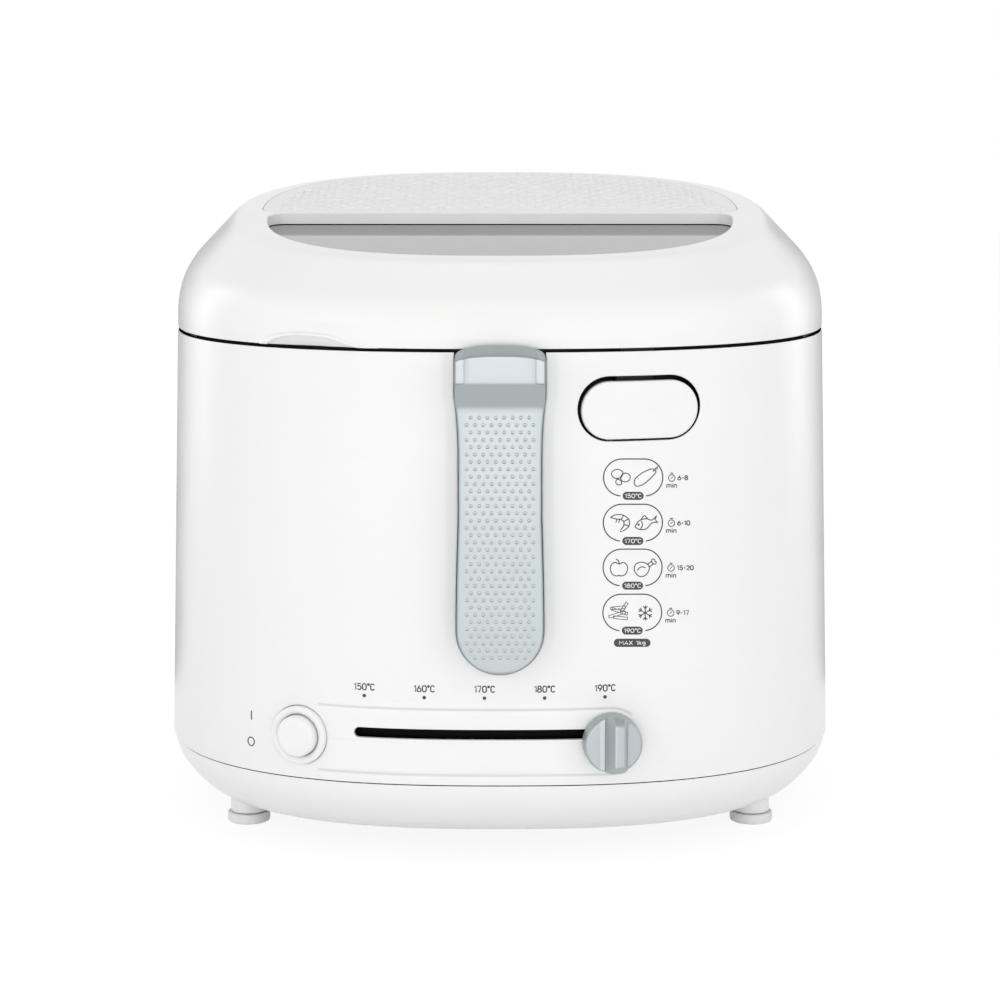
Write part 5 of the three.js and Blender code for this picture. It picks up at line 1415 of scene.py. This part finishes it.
def food_line(x, z, way, *points):
    """One line of a pictogram about a point."""
    if way == "eye":
        return line("food", circle(0.28, 10, (x + points[0][0], z + points[0][1])), 0.42, True)
    placed = [(x + px * 1.09, z + pz * 1.1) for px, pz in points]
    if way == "round":
        placed = flowing(placed, 6, closed=True)
    if way == "bent":
        placed = flowing(placed, 7)
    return line("food", placed, 0.42, way in ("round", "closed"))


def wall_z(level, x):
    """Height on the front wall that the camera sees at a level of its view."""
    low, high = 40.0, 215.0
    for _ in range(40):
        z = (low + high) / 2
        ahead, down = wall_y(x, z) + EYE_BACK, EYE_HEIGHT - z
        away = ahead * math.cos(EYE_DIP) + down * math.sin(EYE_DIP)
        if 500 - VIEW * (ahead * math.sin(EYE_DIP) - down * math.cos(EYE_DIP)) / away > level:
            low = z
        else:
            high = z
    return z


def make_guide():
    """Cooking guide: four framed pairs of pictograms with heat and time."""
    ink, light = [], []
    x, drop = GUIDE_X, 7.7
    rows = [wall_z(level, 55.25) for level in (477.5, 522.7, 567.5, 612.5)]
    for z, heat, time, food in zip(rows, (150, 170, 180, 190), ("6-8", "6-10", "15-20", "9-17"), FOOD):
        edge = stadium(24.9, 15.5, (x, z), 64)
        near = min(range(len(edge)), key=lambda k: abs(edge[k][0] - x) + abs(edge[k][1] - (z - drop)))
        edge = [p for p in edge[near:] + edge[:near] if not (abs(p[0] - x) < 5.1 and p[1] < z - 6.5)]
        ink.append(line("guide_frame", edge, 0.5))
        ink.append(patch("guide_pill", stadium(8.9, 3.4, (x, z - drop), 8)))
        light.append(writing("guide_heat", f"{heat}{DEGREES_C}", x, z - drop, 1.95, 0.37, 1.35))
        cx, cz = x + 16.3, z - 0.2
        ink += [food_line(x, cz, *mark) for mark in food]
        ink.append(line("clock", circle(1.4, 24, (cx, cz)), 0.36, True))
        ink.append(line("clock_top", [(cx - 0.65, cz + 2.0), (cx + 0.65, cz + 2.0)], 0.4))
        ink.append(line("clock_hand", [(cx - 0.4, cz - 0.3), (cx + 0.55, cz + 0.6)], 0.32))
        ink.append(writing("guide_time", time, cx + 2.6, cz + 0.1, 2.2, 0.44, 1.2, True))
        ink.append(writing("guide_min", "min", cx - 2.1, cz - 3.1, 2.25, 0.38, 1.35, True))
    z = rows[-1] - 12.9
    ink.append(patch("guide_max", stadium(15.6, 3.5, (x, z), 8)))
    light.append(writing("guide_max_text", "MAX 1kg", x, z, 1.95, 0.34, 1.38))
    return ink, light


def levelled(x, y, z):
    """Keeps the guide's rows level to the eye on the wall that falls away to the side."""
    back = wall_y(x, z) - wall_y(GUIDE_X, z)
    return (x, y, z + back * (z - EYE_HEIGHT) / (EYE_BACK + wall_y(x, z)))


def flat_print(piece, proud):
    """Lays a flat drawing, made in x and z, on the front wall as a thin skin."""
    return reshape(piece, lambda x, y, z: on_wall(x, z, -proud - y))


guide, light = make_guide()
guide_piece = reshape(joined("front_guide", guide), levelled)
ink_piece = flat_print(joined("front_print", [guide_piece] + make_scale()), 0.03)
light_piece = flat_print(reshape(joined("front_print_light", light), levelled), 0.06)
show(ink_piece, "fryer_body", INK, "dark_plastic")
show(light_piece, "fryer_body", PAPER, "white_plastic")

# ------------------------------------------------------------------ bowl, basket and inner lid

def make_bowl():
    inside = flowing([
        (4.0, 61.8), (60.0, 61.8), (99.0, 61.8), (106.0, 63.4), (112.5, 68.6), (116.5, 76.6), (118.5, 89.6),
        (128.5, 214.6),
    ])
    lip = [
        (128.7, 215.9), (129.2, 216.4), (130.0, 216.5), (136.2, 216.5), (136.8, 216.3), (137.0, 215.9),
        (136.8, 215.45), (136.2, 215.3), (130.4, 215.3),
    ]
    outside = flowing([
        (129.7, 214.4), (119.7, 89.6), (117.7, 75.6), (111.0, 65.6), (105.0, 61.6), (99.7, 60.6), (60.0, 60.6),
        (4.0, 60.6),
    ])
    return smooth(loft("oil_bowl", ovals(inside + lip + outside, INNER_SIDES)), 30)


def basket_half(z):
    """Half width of the basket's wall at a height."""
    if z < 81.0:
        return 104.5 + 5.0 * math.sqrt(max(0.0, 1 - ((81.0 - z) / 5.0) ** 2))
    return 109.5 + 10.0 * (z - 81.0) / 119.0


def make_basket():
    def hoop(half, z, sides=96):
        ring = oval(half, z, sides)
        return ring + ring[:1]

    uprights, reach, floor_z = 64, 104.0, 76.6
    columns = [
        oval(basket_half(z) - 0.2, z, 2 * uprights)[::2] for z in (199.0, 160.0, 120.0, 86.0, 82.0, 79.0, 77.4, 76.5)
    ]
    thin = list(zip(*columns))
    for y in (-78.0 + 7.8 * i for i in range(21)):
        half = reach * arch(y / depth_of(reach))
        thin.append([(-half, y, floor_z), (half, y, floor_z)])
    for x in (-101.0 + 8.08 * i for i in range(26)):
        deep = depth_of(reach) * arch(x / reach)
        thin.append([(x, -deep, floor_z + 1.0), (x, deep, floor_z + 1.0)])
    levels = (186.0, 172.0, 158.0, 144.0, 130.0, 116.0, 102.0, 90.0)
    legs = [[(sx * 70, sy * 45, z) for z in (76.9, 66.0, 63.6)] for sx, sy in CORNERS]
    return smooth(joined("wire_basket", [
        cords("rim_wire", [hoop(119.9, 198.8, 120)], 1.5, 2),
        cords("hoops", [hoop(basket_half(z) - 0.6, z) for z in levels], 0.75, 1),
        cords("low_hoop", [hoop(basket_half(81.5) - 0.6, 81.5)], 1.1, 1),
        cords("thin_wires", thin, 0.62, 1), cords("legs", legs, 2.3, 3),
    ]), 50)


def make_liner():
    liner = loft("lid_liner_shell", ovals([
        (4.0, 38.9), (60.0, 38.9), (115.0, 38.9), (116.2, 38.4), (127.9, 21.6), (128.5, 20.4), (128.6, 10.0),
        (128.6, 0.6), (138.4, 0.6), (138.9, 0.9), (139.0, 1.4), (138.9, 2.4), (138.4, 2.8), (131.8, 2.8), (131.2, 3.4),
        (130.9, 10.0), (130.9, 21.4), (130.2, 23.0), (118.6, 40.4), (117.5, 41.2), (116.0, 41.3), (60.0, 41.3),
        (4.0, 41.3),
    ], INNER_SIDES))
    window = [(0.9, 34.0), (0.9, 38.4), (0.2, 38.9), (0.0, 39.4), (0, 50.0)]
    cuts = [plateau_cutter("liner_window", 99.5, 83.0, -6.5, -1, 8.0, window)]
    steps = ((1.2, 34.0), (1.2, 38.4), (0.3, 38.9), (0.0, 39.4), (0.0, 50.0))
    for x in (-80.0 + 20.0 * i for i in range(9)):
        near, far = 14.0, min(60.0, 84.0 * arch(x / 102.0, PLATEAU_POWER) - 4)
        cuts.append(slit("liner_vent", x, (near + far) / 2, far - near, 6.0, steps, 8))
    cuts += [turned("liner_bore", [(1.8, 20.0), (1.8, 50.0)], 24, (sx * 110.5, sy * 24.0)) for sx, sy in CORNERS]
    carve(liner, *cuts)
    return smooth(reshape(liner, tilt), 30)


def make_seal():
    """Soft ring with a round lip, notched over the basket's strap."""
    seal = loft("lid_seal_ring", ovals([
        (130.6, -3.0), (131.0, -3.35), (132.2, -3.4), (133.6, -3.1), (135.2, -3.4), (136.0, -3.3), (136.2, -2.9),
        (136.2, 0.3), (130.6, 0.3), (130.6, -3.0),
    ], INNER_SIDES), shut=True)
    carve(seal, rounded_box("notch", -13.5, 13.5, -140, 0, -6.0, -0.8, 0.3))
    return smooth(reshape(seal, tilt), 40)


show(make_bowl(), "fryer_body", COATED, "coated_metal", "bowl")
show(make_basket(), "basket_unit", WIRE, "wire_steel", "basket")
show(make_liner(), "lid", LINER, "liner_plastic", "lid_liner")
show(make_seal(), "lid", SEAL, "seal_rubber", "lid_seal")

# ------------------------------------------------------------------ gland at the back

def make_gland():
    profile = [
        (3.4, 114.0), (9.2, 114.0), (9.5, 114.4), (9.5, 120.5), (9.2, 121.0), (6.0, 121.0), (6.0, 127.3), (9.3, 127.3),
        (9.5, 127.8), (9.4, 128.8), (8.9, 129.3), (6.6, 129.9), (6.3, 130.4), (6.1, 131.3), (6.5, 131.9), (6.2, 132.7),
        (5.9, 133.3), (6.2, 134.0), (5.9, 134.8), (5.6, 135.4), (5.8, 136.0), (5.3, 136.9), (4.0, 137.0), (3.5, 136.6),
        (3.4, 114.0),
    ]
    rings = [standing(circle(radius, 64, (0.0, GLAND_Z)), y) for radius, y in profile]
    return smooth(loft("cord_sleeve", rings, shut=True), 50)


show(make_gland(), "fryer_body", DARK, "dark_plastic", "cord_gland")

# ------------------------------------------------------------------ finishes of the kept CAD pieces

KEPT = {
    "hinge_pin": (STEEL, 0.4), "heating_element": (STEEL, 0.0), "element_clamp": (STEEL, 0.3),
    "heat_shield": (ALUMINIUM, 0.0), "temperature_sensor": (STEEL, 0.0), "thermal_fuse": (STEEL, 0.3),
    "thermostat": (BROWN, 0.8), "terminal_block": (DARK, 0.8), "power_switch": (DARK, 0.6),
    "power_spring": (STEEL, 0.0),
    "slide_rail": (BLACK_AND_SLOT_SHADE, 0.0), "slide_carriage": (BLACK_AND_SLOT_SHADE, 0.3), "latch_hook": (DARK, 0.3), "latch_spring": (STEEL, 0.0),
    "latch_bracket": (STEEL, 0.2), "lid_window": (PANE, 0.3), "filter_pad": (FELT, 0.8), "lid_catch": (DARK, 0.2),
    "handle_pin": (STEEL, 0.3), "lid_screw_1": (STEEL, 0.2), "lid_screw_2": (STEEL, 0.2), "lid_screw_3": (STEEL, 0.2),
    "lid_screw_4": (STEEL, 0.2),
}
for name, (material, bevel) in KEPT.items():
    node = NODES[name]
    node.data.materials.clear()
    node.data.materials.append(material)
    weld = node.modifiers.new("Weld", "WELD")
    weld.merge_threshold = 0.00001
    if bevel:
        soften = node.modifiers.new("Bevel", "BEVEL")
        soften.width, soften.segments, soften.limit_method = bevel * MM, 2, "ANGLE"
        soften.angle_limit = math.radians(40)
